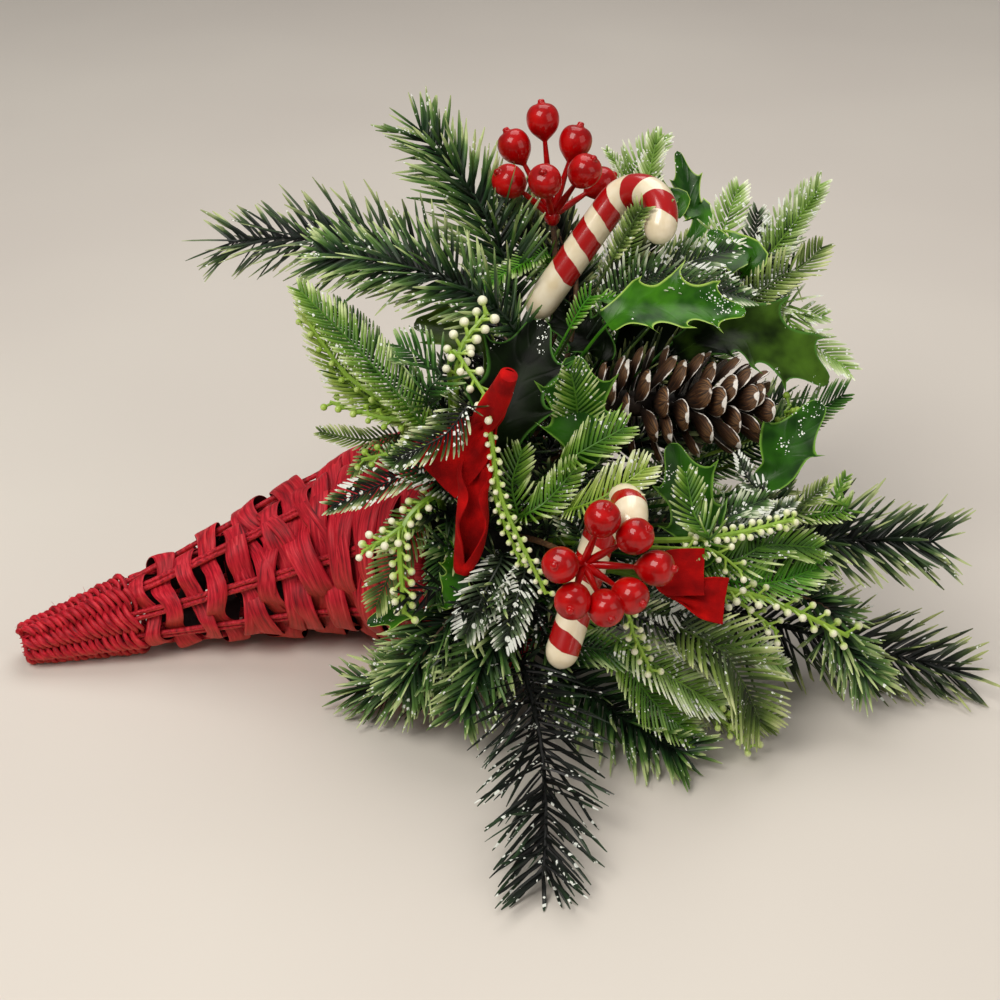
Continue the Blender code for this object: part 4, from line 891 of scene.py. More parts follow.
def add_comb(shape, stem, draw, width, start, kind=0):
    """A fern frond: leaflets at an even pitch along both edges of a rib, longest in the middle.

    A leaflet's length is the half width times a half sine of its place to a low power, and its lean falls
    towards the tip.
    """
    pitch = 1.45 + 0.018 * width
    pairs = max(int(stem.length * (1.0 - start) / (pitch * MM)), 4)
    place = np.repeat((np.arange(pairs) + 0.5) / pairs, 2)
    edge = np.tile([-1.0, 1.0], pairs)
    base, along, over, across = stem.at(start + (1.0 - start) * place)
    swell = np.sin(math.pi * (0.13 + 0.80 * place)) ** 0.6
    reach = width / 2 * MM * LEAFLET_SHARE * swell * draw.uniform(0.90, 1.06, len(place))
    lean = COMB_LEAN - (COMB_LEAN - COMB_TIP_LEAN) * place ** 2
    angle = np.radians(lean + draw.normal(0.0, 2.0, len(place)))
    out = across * edge[:, None] * math.cos(COMB_CUP) + over * math.sin(COMB_CUP)
    direction = unit(swung(along, out, angle))
    bend = (along * 0.16 + over * 0.04) * reach[:, None]
    grid = blades(base, direction, unit(np.cross(direction, over)), reach,
                  np.full(len(place), 0.60 * pitch * MM), bend, LEAFLET_PROFILE, 0.6)
    shape.add(grid, (0.15 + 0.85 * BLADE_STATIONS)[:, None], draw.random((len(place), 1, 1)), kind)
    add_stalk(shape, stem, COMB_RIB, 0.55, kind, end=0.99, v=0.9)


def add_leaf(shape, stem, draw, width, spines, start):
    """A holly leaf with spines and round hollows along both margins, on a grid along and across the blade.

    The half width is a half sine along the blade to a low power, less a hollow between spines that is the
    sine of the place between them. The margins fold up, wave, and curl at each spine.
    """
    rows, half_columns = spines * 12 + 1, 11
    s = np.linspace(0.0, 1.0, rows)
    across_share = np.linspace(-1.0, 1.0, half_columns)
    v = np.concatenate([across_share, across_share[-2:0:-1], across_share[:1]])
    top = np.concatenate([np.ones(half_columns), -np.ones(half_columns - 1)])
    between = np.abs(np.sin(math.pi * s * spines)) ** 0.6
    envelope = np.sin(math.pi * np.clip(0.05 + 0.95 * s, 0.0, 1.0)) ** 0.62
    half = width / 2 * MM * envelope * (1.24 - LEAF_HOLLOW * between) * draw.uniform(0.96, 1.04)
    half += 0.7 * MM * (1 - s)
    base, along, over, side = stem.at(start + (1.0 - start) * s)
    spine = (1.0 - between) ** 1.5
    edge = np.abs(v[:-1])
    forward = half[:, None] * 0.34 * spine[:, None] * edge ** 4
    phase = draw.random() * TURN
    height = half[:, None] * (LEAF_FOLD * edge ** 1.3 + LEAF_CURL * spine[:, None] * edge ** 5
                              * np.where(np.arange(rows) % 24 < 12, 1.0, -0.6)[:, None]
                              + LEAF_WAVE * np.sin(TURN * 1.5 * s + phase)[:, None] * edge ** 2)
    thick = LEAF_THICKNESS / 2 * (1.0 - 0.8 * edge ** 8) * top[:len(edge)]
    grid = (base[:, None] + side[:, None] * (half[:, None] * v[:-1])[..., None]
            + along[:, None] * forward[..., None] + over[:, None] * (height + thick)[..., None])
    grid[..., 2] = np.maximum(grid[..., 2], 0.2 * MM)
    shape.add(grid, s[:, None], v)
    add_stalk(shape, stem, 2.0 * MM, 0.4, end=start + 0.06, v=0.0)


def turned(base, axis, runs, radii, sides):
    """Many turned shapes at once: rings of the given radii at runs along each axis from its base."""
    helper = np.where(np.abs(axis[:, 2:3]) > 0.9, np.array([[1.0, 0.0, 0.0]]), UP)
    first = unit(np.cross(axis, helper))
    second = np.cross(axis, first)
    middle = base[:, None] + axis[:, None] * runs[..., None]
    return rings_round(middle, first[:, None], second[:, None], radii, sides)


def add_beads(shape, stem, draw, beads, bead, stalk, start, thickness, cream):
    """A sprig of stalked beads to both sides of a stem: each a thin neck that swells into a round end."""
    place = start + (1.0 - start) * (np.arange(beads) + 0.6) / beads
    edge = np.where(np.arange(beads) % 2 == 0, 1.0, -1.0)
    base, along, over, across = stem.at(np.minimum(place, 1.0))
    tilt = draw.uniform(-BEAD_SPREAD, BEAD_SPREAD + 0.3, beads)[:, None]
    axis = unit(along * 0.85 + across * edge[:, None] + over * tilt)
    neck = stalk * MM * draw.uniform(0.7, 1.15, beads)[:, None]
    ball = bead * BEAD_SHARE * MM * draw.uniform(0.88, 1.1, beads)[:, None]
    lean = np.linspace(0.35, math.pi - 0.12, 9)
    runs = np.concatenate([np.zeros((beads, 1)), neck * 0.5, neck + ball / 2 - ball / 2 * np.cos(lean)],
                          axis=1)
    radii = np.concatenate([ball * 0.28, ball * 0.20, ball / 2 * np.sin(lean)], axis=1)
    u = np.concatenate([[0.1, 0.3], np.linspace(0.58, 1.0, 9)])
    shape.add(turned(base, axis, runs, radii, 8), (u * cream)[:, None], 0.5)
    add_stalk(shape, stem, thickness * SPRIG_STEM_SHARE * MM, 0.45, v=0.5)


# Picks with a solid: root and tip as clock and lean, length in metres and bow. For pines the look, the
# needles' length and number and the stem's bare share follow, for ferns the look and the width
PINES = {
    "pine_spray_left_long": ((4, 62), (356, 117), 0.1050, 1.00, "dark", 31, 150, 0.36),
    "pine_spray_left_short": ((3, 50), (349, 94), 0.0880, 1.05, "green", 28, 180, 0.40),
    "pine_spray_top": ((19, 62), (14, 90), 0.1190, 0.60, "green", 30, 180, 0.40),
    "pine_spray_front": ((240, 46), (242, 56), 0.1235, 0.50, "black", 32, 140, 0.20),
    "pine_spray_front_left": ((252, 60), (239, 105), 0.0260, 1.15, "green", 24, 150, 0.16),
    "pine_spray_front_right": ((208, 45), (208, 36), 0.0858, 0.50, "green", 26, 170, 0.20),
    "pine_spray_right_upper": ((112, 22), (112, 18), 0.1450, 0.50, "dark", 32, 200, 0.20),
    "pine_spray_right_lower": ((142, 34), (142, 32), 0.1640, 0.50, "tipped", 33, 190, 0.20),
    "pine_spray_back": ((110, 60), (111, 80), 0.0949, 0.50, "green", 26, 200, 0.20),
}
FERNS = {
    "fern_left": ((324, 61), (339, 93), 0.0880, 0.50, "fresh", 25),
    "fern_over_rim": ((312, 51), (317, 75), 0.0418, 0.50, "frosted", 24),
    "fern_centre": ((354, 24), (349, 45), 0.0660, 0.50, "fresh", 28),
    "fern_top": ((46, 61), (37, 67), 0.1342, 0.50, "pale", 24),
    "fern_top_right": ((74, 61), (45, 48), 0.1562, 0.50, "pale", 30),
    "fern_right": ((94, 42), (67, 29), 0.1199, 0.50, "deep", 34),
    "fern_front_right": ((182, 39), (178, 32), 0.0990, 0.50, "olive", 36),
}

# Fronds without a solid of their own, by region: look, width, then root, middle and tip as they are seen,
# which here and below is a pixel and how far in millimetres it is in front of the foam ball's middle
FRONDS = {
    "left": (
        ("lime", 25, (424, 430, 62), (352, 385, 62), (303, 296, 58)),
        ("deep", 24, (440, 410, 50), (388, 372, 46), (334, 306, 40)),
        ("fresh", 20, (440, 426, 55), (392, 412, 60), (330, 372, 58)),
        ("deep", 30, (426, 400, 76), (440, 372, 80), (398, 345, 74)),
        ("painted", 24, (470, 408, 94), (446, 434, 97), (399, 459, 96)),
        ("painted", 24, (472, 468, 74), (420, 470, 74), (332, 506, 68)),
        ("olive", 15, (400, 436, 35), (365, 440, 35), (320, 432, 30)),
        ("olive", 12, (400, 442, 38), (375, 452, 38), (352, 474, 36)),
        ("olive", 24, (428, 515, 60), (398, 558, 62), (376, 606, 56)),
        ("deep", 18, (452, 520, 58), (442, 560, 60), (436, 604, 58)),
        ("fresh", 18, (440, 500, 56), (410, 520, 60), (380, 548, 58)),
    ),
    "centre": (
        ("fresh", 26, (566, 462, 80), (592, 446, 84), (624, 428, 84)),
        ("fresh", 22, (517, 520, 72), (512, 485, 76), (522, 450, 78)),
        ("lime", 28, (576, 508, 88), (612, 492, 93), (646, 468, 94)),
        ("fresh", 22, (523, 516, 76), (548, 500, 80), (576, 468, 84)),
        ("frosted", 20, (580, 548, 70), (572, 520, 74), (556, 492, 74)),
        ("snowy", 24, (502, 556, 66), (486, 590, 72), (466, 634, 72)),
        ("snowy", 22, (524, 566, 68), (516, 602, 74), (505, 644, 74)),
        ("bright", 15, (550, 265, 22), (512, 270, 40), (478, 292, 50)),
        ("deep", 24, (560, 640, 62), (600, 650, 66), (640, 660, 64)),
    ),
    "top": (
        ("pale", 25, (626, 190, 0), (641, 165, -5), (662, 137, -10)),
        ("pale", 13, (642, 200, -5), (626, 176, -5), (606, 150, -5)),
        ("pale", 24, (704, 266, 10), (722, 232, 10), (739, 187, 5)),
        ("snowy", 22, (752, 278, 15), (754, 245, 12), (758, 212, 10)),
        ("frosted", 20, (772, 292, 15), (782, 258, 12), (790, 216, 8)),
        ("pale", 26, (750, 272, 8), (785, 228, 6), (820, 184, 5)),
        ("olive", 25, (762, 290, 20), (797, 271, 20), (822, 247, 15)),
        ("pale", 28, (760, 309, 15), (795, 332, 20), (848, 369, 20)),
        ("pale", 22, (765, 318, 10), (795, 314, 10), (824, 316, 10)),
        ("frosted", 28, (615, 299, 34), (660, 272, 36), (732, 250, 30)),
        ("frosted", 26, (628, 296, 42), (685, 284, 44), (748, 298, 42)),
        ("olive", 13, (630, 228, 57), (648, 214, 59), (668, 200, 59)),
        ("bright", 13, (580, 310, 45), (598, 300, 46), (622, 300, 44)),
        ("deep", 24, (690, 280, 5), (725, 262, 0), (770, 246, -5)),
    ),
    "right": (
        ("snowy", 13, (752, 500, 50), (748, 480, 52), (738, 456, 52)),
        ("frosted", 23, (698, 534, 62), (728, 515, 60), (764, 500, 55)),
        ("snowy", 14, (744, 530, 58), (770, 515, 56), (793, 502, 52)),
        ("fresh", 30, (716, 562, 62), (765, 546, 58), (818, 548, 50)),
        ("bright", 28, (724, 580, 60), (775, 582, 55), (822, 566, 48)),
        ("deep", 26, (730, 560, 45), (780, 562, 40), (830, 590, 35)),
        ("pale", 26, (686, 640, 60), (735, 646, 55), (784, 668, 40)),
        ("painted", 30, (636, 616, 66), (680, 636, 64), (724, 670, 55)),
        ("snowy", 24, (656, 606, 64), (690, 618, 62), (722, 640, 56)),
        ("pale", 30, (632, 648, 70), (676, 680, 66), (718, 706, 60)),
        ("fresh", 28, (616, 656, 66), (652, 700, 64), (692, 736, 60)),
        ("fresh", 15, (826, 514, 45), (835, 496, 44), (846, 477, 42)),
        ("olive", 17, (774, 516, 50), (800, 505, 46), (827, 484, 42)),
        ("olive", 46, (700, 638, 76), (738, 674, 74), (760, 722, 64)),
        ("fresh", 22, (700, 548, 78), (693, 512, 81), (686, 474, 80)),
        ("deep", 24, (690, 470, 25), (700, 500, 40), (730, 530, 50)),
        ("frosted", 24, (640, 560, 50), (660, 590, 55), (690, 610, 58)),
    ),
    "back": (
        ("deep", 32, (620, 420, -30), (680, 380, -45), (740, 335, -50)),
        ("olive", 32, (590, 390, -30), (640, 310, -50), (690, 240, -60)),
        ("deep", 30, (560, 380, -30), (570, 300, -50), (580, 240, -50)),
        ("fresh", 30, (650, 480, -30), (720, 450, -50), (780, 420, -60)),
        ("deep", 30, (500, 400, -20), (490, 330, -50), (480, 280, -50)),
        ("olive", 30, (640, 520, -30), (720, 510, -60), (790, 490, -70)),
    ),
}
# Pine sprays without a solid: look, needles' length and number, then root, middle and tip as they are seen
EXTRA_PINES = (
    ("green", 26, 120, (800, 596, 42), (838, 636, 40), (866, 676, 40)),
    ("green", 23, 110, (504, 620, 58), (482, 664, 60), (462, 712, 62)),
    ("tipped", 24, 120, (548, 300, 8), (532, 252, 6), (516, 206, 2)),
    ("tipped", 22, 100, (566, 310, 4), (566, 262, 4), (556, 222, 0)),
    ("green", 24, 120, (470, 590, 50), (436, 636, 52), (404, 682, 50)),
    ("dark", 22, 110, (760, 560, 35), (800, 545, 30), (836, 540, 25)),
    ("tipped", 24, 120, (600, 330, 16), (634, 270, 4), (644, 236, 0)),
    ("tipped", 22, 120, (600, 400, 10), (650, 372, 6), (700, 352, 2)),
    ("dark", 20, 110, (612, 450, 34), (650, 440, 30), (692, 424, 24)),
    ("green", 26, 120, (590, 400, -28), (590, 330, -44), (580, 268, -56)),
    ("dark", 26, 120, (640, 420, -28), (690, 350, -48), (724, 290, -60)),
    ("green", 26, 120, (660, 470, -28), (730, 430, -50), (780, 400, -62)),
    ("dark", 24, 110, (530, 390, -22), (500, 330, -40), (470, 290, -50)),
    ("green", 24, 110, (660, 520, -28), (730, 520, -50), (780, 500, -62)),
)

# Leaves: look, width, spines, then root, middle and tip. The first six have a solid, the rest have none
LEAVES = {
    "holly_leaf_dark": ("holly_dark", 36, 3, (494, 456, 70), (514, 392, 72), (542, 320, 66)),
    "holly_leaf_bright": ("holly_bright", 26, 4, (606, 326, 54), (668, 306, 54), (746, 312, 50)),
    "holly_leaf_back": ("holly_paler_at_tip", 34, 4, (676, 356, 28), (748, 334, 30), (828, 384, 32)),
    "holly_leaf_centre": ("holly_mid", 30, 3, (580, 462, 70), (578, 410, 74), (573, 356, 74)),
    "holly_leaf_right": ("holly_mid", 26, 3, (692, 560, 60), (690, 505, 64), (670, 443, 68)),
    "holly_leaf_front_left": ("holly_bright", 15, 3, (452, 602, 50), (414, 606, 50), (367, 624, 46)),
    "olive": ("holly_olive", 24, 3, (484, 352, 40), (446, 330, 38), (414, 324, 36)),
    "curly": ("holly_bright", 13, 3, (446, 604, 60), (458, 572, 64), (446, 540, 64)),
    "upright": ("holly_bright", 13, 3, (690, 244, -4), (690, 204, -8), (677, 151, -10)),
    "upright_short": ("holly_bright", 10, 2, (674, 220, -4), (662, 196, -6), (651, 164, -8)),
    "behind_cane": ("holly_bright", 20, 2, (742, 276, 15), (724, 252, 16), (710, 230, 14)),
    "far_right": ("holly_mid", 24, 2, (752, 488, 48), (788, 446, 46), (822, 402, 42)),
    "by_cone": ("holly_olive", 18, 2, (776, 452, 15), (764, 434, 15), (748, 420, 15)),
    "under_cane": ("holly_dark", 24, 3, (600, 360, 30), (575, 330, 26), (556, 300, 20)),
    "behind_cone": ("holly_dark", 36, 3, (606, 384, 4), (655, 350, 2), (716, 326, 0)),
}

# Sprigs: beads, bead diameter, neck, stem thickness, cream, then root, middle and tip
BEADED = {
    "berry_sprig_top": ((12, 3.7, 3.8, 2.8, 1.0, (456, 384, 74), (462, 346, 80), (488, 312, 82)),
                        (9, 3.2, 3.6, 2.2, 1.0, (450, 356, 80), (472, 376, 88), (496, 414, 98))),
    "berry_sprig_left": ((22, 3.0, 3.4, 2.9, 0.85, (434, 496, 72), (402, 532, 78), (404, 614, 74)),
                         (8, 3.2, 3.6, 2.4, 1.0, (406, 526, 76), (386, 538, 80), (362, 552, 78)),
                         (14, 2.8, 3.4, 2.6, 0.55, (436, 424, 66), (382, 418, 68), (330, 402, 66)),
                         (12, 2.8, 3.4, 2.6, 0.55, (446, 446, 68), (400, 452, 70), (362, 460, 66)),
                         (14, 2.5, 2.6, 2.2, 0.6, (390, 410, 64), (346, 374, 64), (306, 320, 60))),
    "berry_sprig_right": ((26, 2.8, 2.0, 2.9, 0.95, (676, 540, 76), (742, 532, 72), (794, 519, 66)),
                          (9, 2.6, 4.2, 1.7, 1.0, (672, 548, 78), (712, 550, 76), (742, 572, 74)),
                          (6, 3.0, 3.2, 1.8, 0.4, (772, 432, 30), (782, 416, 32), (791, 404, 32))),
    "berry_sprig_front_right": ((16, 3.2, 5.0, 3.0, 0.95, (722, 588, 66), (784, 606, 60), (848, 636, 50)),
                                (9, 3.0, 4.6, 2.2, 1.0, (716, 594, 66), (744, 606, 62), (778, 632, 56)),
                                (12, 3.0, 3.4, 2.4, 0.75, (700, 704, 58), (726, 724, 54), (750, 748, 48)),
                                (12, 2.6, 2.6, 2.0, 0.95, (618, 606, 84), (634, 636, 82), (652, 672, 76))),
    "chain": ((30, 2.3, 1.5, 2.2, 0.9, (488, 428, 90), (502, 500, 88), (546, 594, 84)),
              (22, 2.2, 1.5, 1.8, 0.9, (492, 450, 84), (496, 500, 82), (522, 566, 78))),
}


def make_pines():
    """The pine sprays: a taped stem and its needles. Those without a solid are one piece."""
    for number, (name, (root, tip, length, bow, look, needle, count, bare)) in enumerate(PINES.items()):
        draw = np.random.default_rng(200 + number)
        stem = crown.stem(root, crown.point(*tip, length), bow)
        shape = Shape()
        add_stalk(shape, stem, 2.6 * MM, 0.3, kind=0, end=0.4)
        add_stalk(shape, stem, 2.4 * MM, 0.5, kind=1, start=0.2)
        add_needles(shape, stem, draw, count, needle, bare)
        make_piece(name + "_needles", shape, [TAPE, LOOKS[look]], [name])
    draw = np.random.default_rng(230)
    looks = sorted({row[0] for row in EXTRA_PINES})
    shape = Shape()
    for look, needle, count, *places in EXTRA_PINES:
        stem, first = crown.stem_seen(places)
        add_stalk(shape, stem, 2.2 * MM, 0.5, kind=len(looks))
        add_needles(shape, stem, draw, count, needle, first, looks.index(look))
    make_piece("pine_sprays_between", shape, [*(LOOKS[look] for look in looks), TAPE])


def make_core():
    """Short dark tufts over the foam's dome, which fill the gaps between the picks.

    Their directions turn by the golden angle as their lean from the mouth's axis grows. None stands over
    the horn or near the floor.
    """
    tufts = 110
    draw = np.random.default_rng(260)
    shape = Shape()
    for number in range(tufts):
        lean = 88.0 * math.sqrt((number + 0.5) / tufts)
        clock = math.degrees(number * GOLDEN_TURN)
        reach = draw.uniform(20.0, 32.0) * MM
        end = crown.point(clock + draw.normal(0.0, 8.0), lean * 1.12, reach)
        if end[2] > 6.0 * MM and end[0] > -48.0 * MM:
            stem = crown.stem((clock, lean * 0.92), end, count=12)
            add_needles(shape, stem, draw, 26, 14.0, 0.05, number % 3, width=1.5, leans=(80.0, 30.0),
                        flat=0.9)
    make_piece("core_tufts", shape, [LOOKS["black"], LOOKS["dark"], LOOKS["green"]])


def make_ferns():
    """The fern fronds: first those with a solid of their own, then the others as a piece a region."""
    for number, (name, (root, tip, length, bow, look, width)) in enumerate(FERNS.items()):
        draw = np.random.default_rng(300 + number)
        stem = crown.stem(root, crown.point(*tip, length), bow)
        shape = Shape()
        add_comb(shape, stem, draw, width, 0.36)
        make_piece(name + "_frond", shape, [LOOKS[look]], [name])
    for number, (region, rows) in enumerate(FRONDS.items()):
        draw = np.random.default_rng(330 + number)
        looks = sorted({row[0] for row in rows})
        shape = Shape()
        for look, width, *places in rows:
            stem, first = crown.stem_seen(places)
            add_comb(shape, stem, draw, width, first * 0.85, looks.index(look))
        make_piece("fern_fronds_" + region, shape, [LOOKS[look] for look in looks])


def make_leaves():
    """The holly leaves, each on the stem that carries it out of the foam."""
    for number, (name, (look, width, spines, *places)) in enumerate(LEAVES.items()):
        draw = np.random.default_rng(400 + number)
        stem, first = crown.stem_seen(places)
        shape = Shape()
        add_leaf(shape, stem, draw, width, spines, first)
        solid = name.startswith("holly_leaf")
        make_piece(name + "_blade" if solid else "leaf_" + name, shape, [LOOKS[look]],
                   [name] if solid else ())


def make_sprigs():
    """The sprigs of cream-dipped beads, of one or more branches each."""
    for number, (name, branches) in enumerate(BEADED.items()):
        draw = np.random.default_rng(500 + number)
        shape = Shape()
        for beads, bead, neck, thickness, cream, *places in branches:
            stem, first = crown.stem_seen(places)
            add_beads(shape, stem, draw, beads, bead, neck, first, thickness, cream)
        solid = name.startswith("berry_sprig")
        make_piece(name + "_beads", shape, [LIME], [name] if solid else ())


# Lacquered berries, canes, ribbons and cone

# Roots as clock and lean, and hubs as they are seen
BERRY_HUBS = {
    "red_berries_top": ((32, 61), (552, 216, 26)),
    "red_berries_front": ((301, 33), (583, 564, 96)),
}
BERRY_REACH = 0.034
BERRY_LENGTH = 0.0165
BERRY_DIAMETER = 0.0135
# Middles of the berries on the picture, with the side of the hub that each is on and its reach's share
BERRY_PLACES = {
    "red_berries_top": ((543, 121, -1, 1.10), (515, 147, 1, 1.0), (575, 143, -1, 1.0), (510, 182, 1, 1.0),
                        (545, 182, 1, 1.0), (584, 172, 1, 1.0), (600, 184, -1, 1.0)),
    "red_berries_front": ((602, 520, 1, 1.0), (634, 537, 1, 1.0), (655, 568, 1, 1.1), (629, 595, 1, 1.0),
                          (605, 607, 1, 1.0), (573, 600, 1, 1.0), (561, 565, 1, 1.0)),
}
# Berry outline from stalk to nub: place along it and width, as shares of its length and diameter
BERRY_OUTLINE = ((0.0, 0.14), (0.05, 0.26), (0.13, 0.50), (0.25, 0.78), (0.40, 0.95), (0.56, 1.0),
                 (0.72, 0.93), (0.84, 0.74), (0.90, 0.52), (0.925, 0.30), (0.95, 0.22), (1.0, 0.20),
                 (1.03, 0.12))


def make_berries():
    """Two clusters of seven pear-shaped berries, each turned from one outline, on stalks from a hub."""
    lacquer = lacquered_berry()
    outline = np.array(BERRY_OUTLINE)
    fine = curve_through(outline, 40)
    for name, (root, hub) in BERRY_HUBS.items():
        stem = crown.stem(root, crown.seen(*hub))
        place, axis = stem.points[-1], stem.along[-1]
        middles = np.array([seen_round(place, (BERRY_REACH - BERRY_LENGTH / 2) * row[3], *row[:3])
                            for row in BERRY_PLACES[name]])
        outward = unit(middles - place)
        body = np.linalg.norm(middles - place, axis=1)[:, None] - BERRY_LENGTH / 2
        runs = np.concatenate([0.0 * body, body * 0.5, body + BERRY_LENGTH * fine[:, 0]], axis=1)
        berries = len(middles)
        radii = np.concatenate([np.full((berries, 2), 1.5 * MM),
                                np.tile(BERRY_DIAMETER / 2 * fine[:, 1], (berries, 1))], axis=1)
        shape = Shape()
        shape.add(turned(np.tile(place, (berries, 1)), outward, runs, radii, 28), 0.5, 0.5)
        shape.add(turned(place[None] - axis * 4.0 * MM, axis[None],
                         np.array([[0.0, 1.0, 3.0, 5.0, 6.6, 7.2]]) * MM,
                         np.array([[1.2, 2.4, 3.4, 3.2, 2.0, 0.3]]) * MM, 16), 0.5, 0.5)
        add_stalk(shape, stem, 2.6 * MM, 0.1, kind=1, end=0.97)
        make_piece(name + "_lacquered", shape, [lacquer, TAPE], [name])


# Root, then foot and top as clock, lean and share of the reach, degrees that the hook is turned back, shift
# of the bands, and place along the stick of the end of the last band
CANES = {
    "candy_cane_top": ((27, 50), (21, 66, 0.99), (25, 62, 1.90), 12.0, 0.0, 6.40),
    "candy_cane_front": ((285, 14), (253.4, 37.3, 0.86), (309.4, 21.9, 0.83), 62.0, 0.92, 7.0),
}
CANE_DIAMETER = 0.0130
CANE_REACH = 0.0560
CANE_STRAIGHT = 0.0485
CANE_HOOK_RADIUS = 0.0135
CANE_HOOK_TURN = math.radians(158.0)
BAND_PITCH = 0.0140
BAND_START = 0.90


def make_canes():
    """Hooked sticks with round ends: a straight run, then an arc, carried round by a circle."""
    for name, (root, foot_at, top_at, turned_back, shift, last_band) in CANES.items():
        gloss = candy_gloss(name + "_glossy_with_painted_bands", last_band)
        foot = crown.point(*foot_at[:2], CANE_REACH * foot_at[2])
        top = crown.point(*top_at[:2], CANE_REACH * top_at[2])
        straight = unit(top - foot)
        hook = unit(np.cross(straight, FACING))
        turned_back = math.radians(turned_back)
        hook = hook * math.cos(turned_back) + np.cross(hook, straight) * math.sin(turned_back)
        run = foot + straight * np.linspace(0.0, CANE_STRAIGHT, 40)[:, None]
        turn = np.linspace(0.0, CANE_HOOK_TURN, 50)[1:, None]
        middle = foot + straight * CANE_STRAIGHT + hook * CANE_HOOK_RADIUS
        arc = middle + CANE_HOOK_RADIUS * (straight * np.sin(turn) - hook * np.cos(turn))
        path = Stem(np.concatenate([run, arc]), facing=np.cross(hook, straight))
        half = CANE_DIAMETER / 2
        cap = np.linspace(0.0, math.pi / 2, 10)[:-1]
        end_share = half / path.length
        rise = end_share * (1.0 - np.cos(cap))
        share = np.concatenate([rise, np.linspace(end_share, 1 - end_share, 90), 1.0 - rise[::-1]])
        swell = np.maximum(np.sin(cap), 0.02)
        radii = half * np.concatenate([swell, np.ones(90), swell[::-1]])
        stretched = Stem(np.concatenate([path.points[:1] - path.along[:1] * half, path.points,
                                         path.points[-1:] + path.along[-1:] * half]),
                         facing=np.cross(hook, straight))
        sides = 30
        shape = Shape()
        shape.add(stretched.tube(share, radii, sides),
                  (share * stretched.length / BAND_PITCH + shift)[:, None],
                  np.arange(sides + 1) / sides + BAND_START)
        wire = crown.stem(root, foot + straight * CANE_STRAIGHT / 2)
        add_stalk(shape, wire, 2.0 * MM, 0.0, kind=1)
        make_piece(name + "_striped", shape, [gloss, TAPE], [name])


CONE_LENGTH = 0.070
CONE_DIAMETER = 0.050
CONE_ROOT = (31, 38)
CONE_BUTT = (27, 41, 0.51)
CONE_TIP = (58, 28, 1.31)
CONE_SCALES = 68


def make_cone():
    """A dry open pinecone: thick paddles that stand off a woody core, set round it by the golden angle.

    A paddle is a closed grid along and round it. Its half width grows from a narrow neck to a round end,
    it is cupped and thicker at its lip, and it stands square to the core at the butt and leans at the tip.
    """
    butt = crown.point(*CONE_BUTT[:2], CONE_LENGTH * CONE_BUTT[2])
    tip = crown.point(*CONE_TIP[:2], CONE_LENGTH * CONE_TIP[2])
    axis = unit(tip - butt)
    over = unit(UP - axis * (axis @ UP))
    across = np.cross(axis, over)
    draw = np.random.default_rng(61)
    number = np.arange(CONE_SCALES)
    s = (number + 0.5) / CONE_SCALES
    spin = number * GOLDEN_TURN + draw.normal(0.0, 0.10, CONE_SCALES)
    swell = np.sin(math.pi * (0.22 + 0.66 * s)) ** 0.7
    core = CONE_DIAMETER * 0.15
    out = swung(over, across, spin)
    round_it = np.cross(axis, out)
    base = butt + axis * (CONE_LENGTH * 0.88 * s)[:, None] + out * (core * 0.6 * swell)[:, None]
    lean = np.radians(96.0 - 44.0 * s ** 1.3 + draw.normal(0.0, 6.0, CONE_SCALES))
    along = swung(axis, out, lean)
    lip = swung(-out, axis, lean)
    reach = (CONE_DIAMETER / 2 * swell - core * 0.6 * swell) / np.sin(np.maximum(lean, 0.8))
    reach = reach * draw.uniform(0.90, 1.06, CONE_SCALES)
    rows, sides = 12, 16
    t = np.linspace(0.0, 1.0, rows)
    turn = turns(sides, 1)
    wide = np.sign(np.cos(turn)) * np.abs(np.cos(turn)) ** 0.8
    high = np.sin(turn)
    half = 0.34 + 0.66 * smooth_step(t / 0.7)
    half = half * np.sqrt(np.clip(1.0 - np.clip((t - 0.68) / 0.325, 0, 1) ** 2, 0.004, 1.0))
    thick = 0.9 + 1.5 * smooth_step((t - 0.45) / 0.4)
    thick = thick * np.sqrt(np.clip(1.0 - np.clip((t - 0.85) / 0.155, 0, 1) ** 2, 0.01, 1.0))
    widest = (6.5 * MM * (0.50 + 0.50 * swell))[:, None, None]
    curl = reach[:, None] * (0.06 * t + 0.20 * t ** 3)
    grid = (base[:, None, None] + along[:, None, None] * (reach[:, None] * t)[..., None, None]
            + lip[:, None, None] * (curl[..., None] + thick[:, None] * 0.5 * MM * high[:-1]
                                    + 0.26 * widest * half[:, None] * wide[:-1] ** 2)[..., None]
            + round_it[:, None, None] * (widest * half[:, None] * wide[:-1])[..., None])
    shape = Shape()
    shape.add(grid, t[:, None], wide)
    core_path = Stem(butt + axis * np.linspace(-0.01, 0.92, 20)[:, None] * CONE_LENGTH, facing=UP)
    add_stalk(shape, core_path, core * 1.6, 0.5, sides=14, v=0.3)
    stem = crown.stem(CONE_ROOT, butt + axis * CONE_LENGTH * 0.1)
    add_stalk(shape, stem, 2.6 * MM, 0.0, kind=1)
    make_piece("pinecone_scales", shape, [cone_wood(), TAPE], ["pinecone"], sharp=60.0)


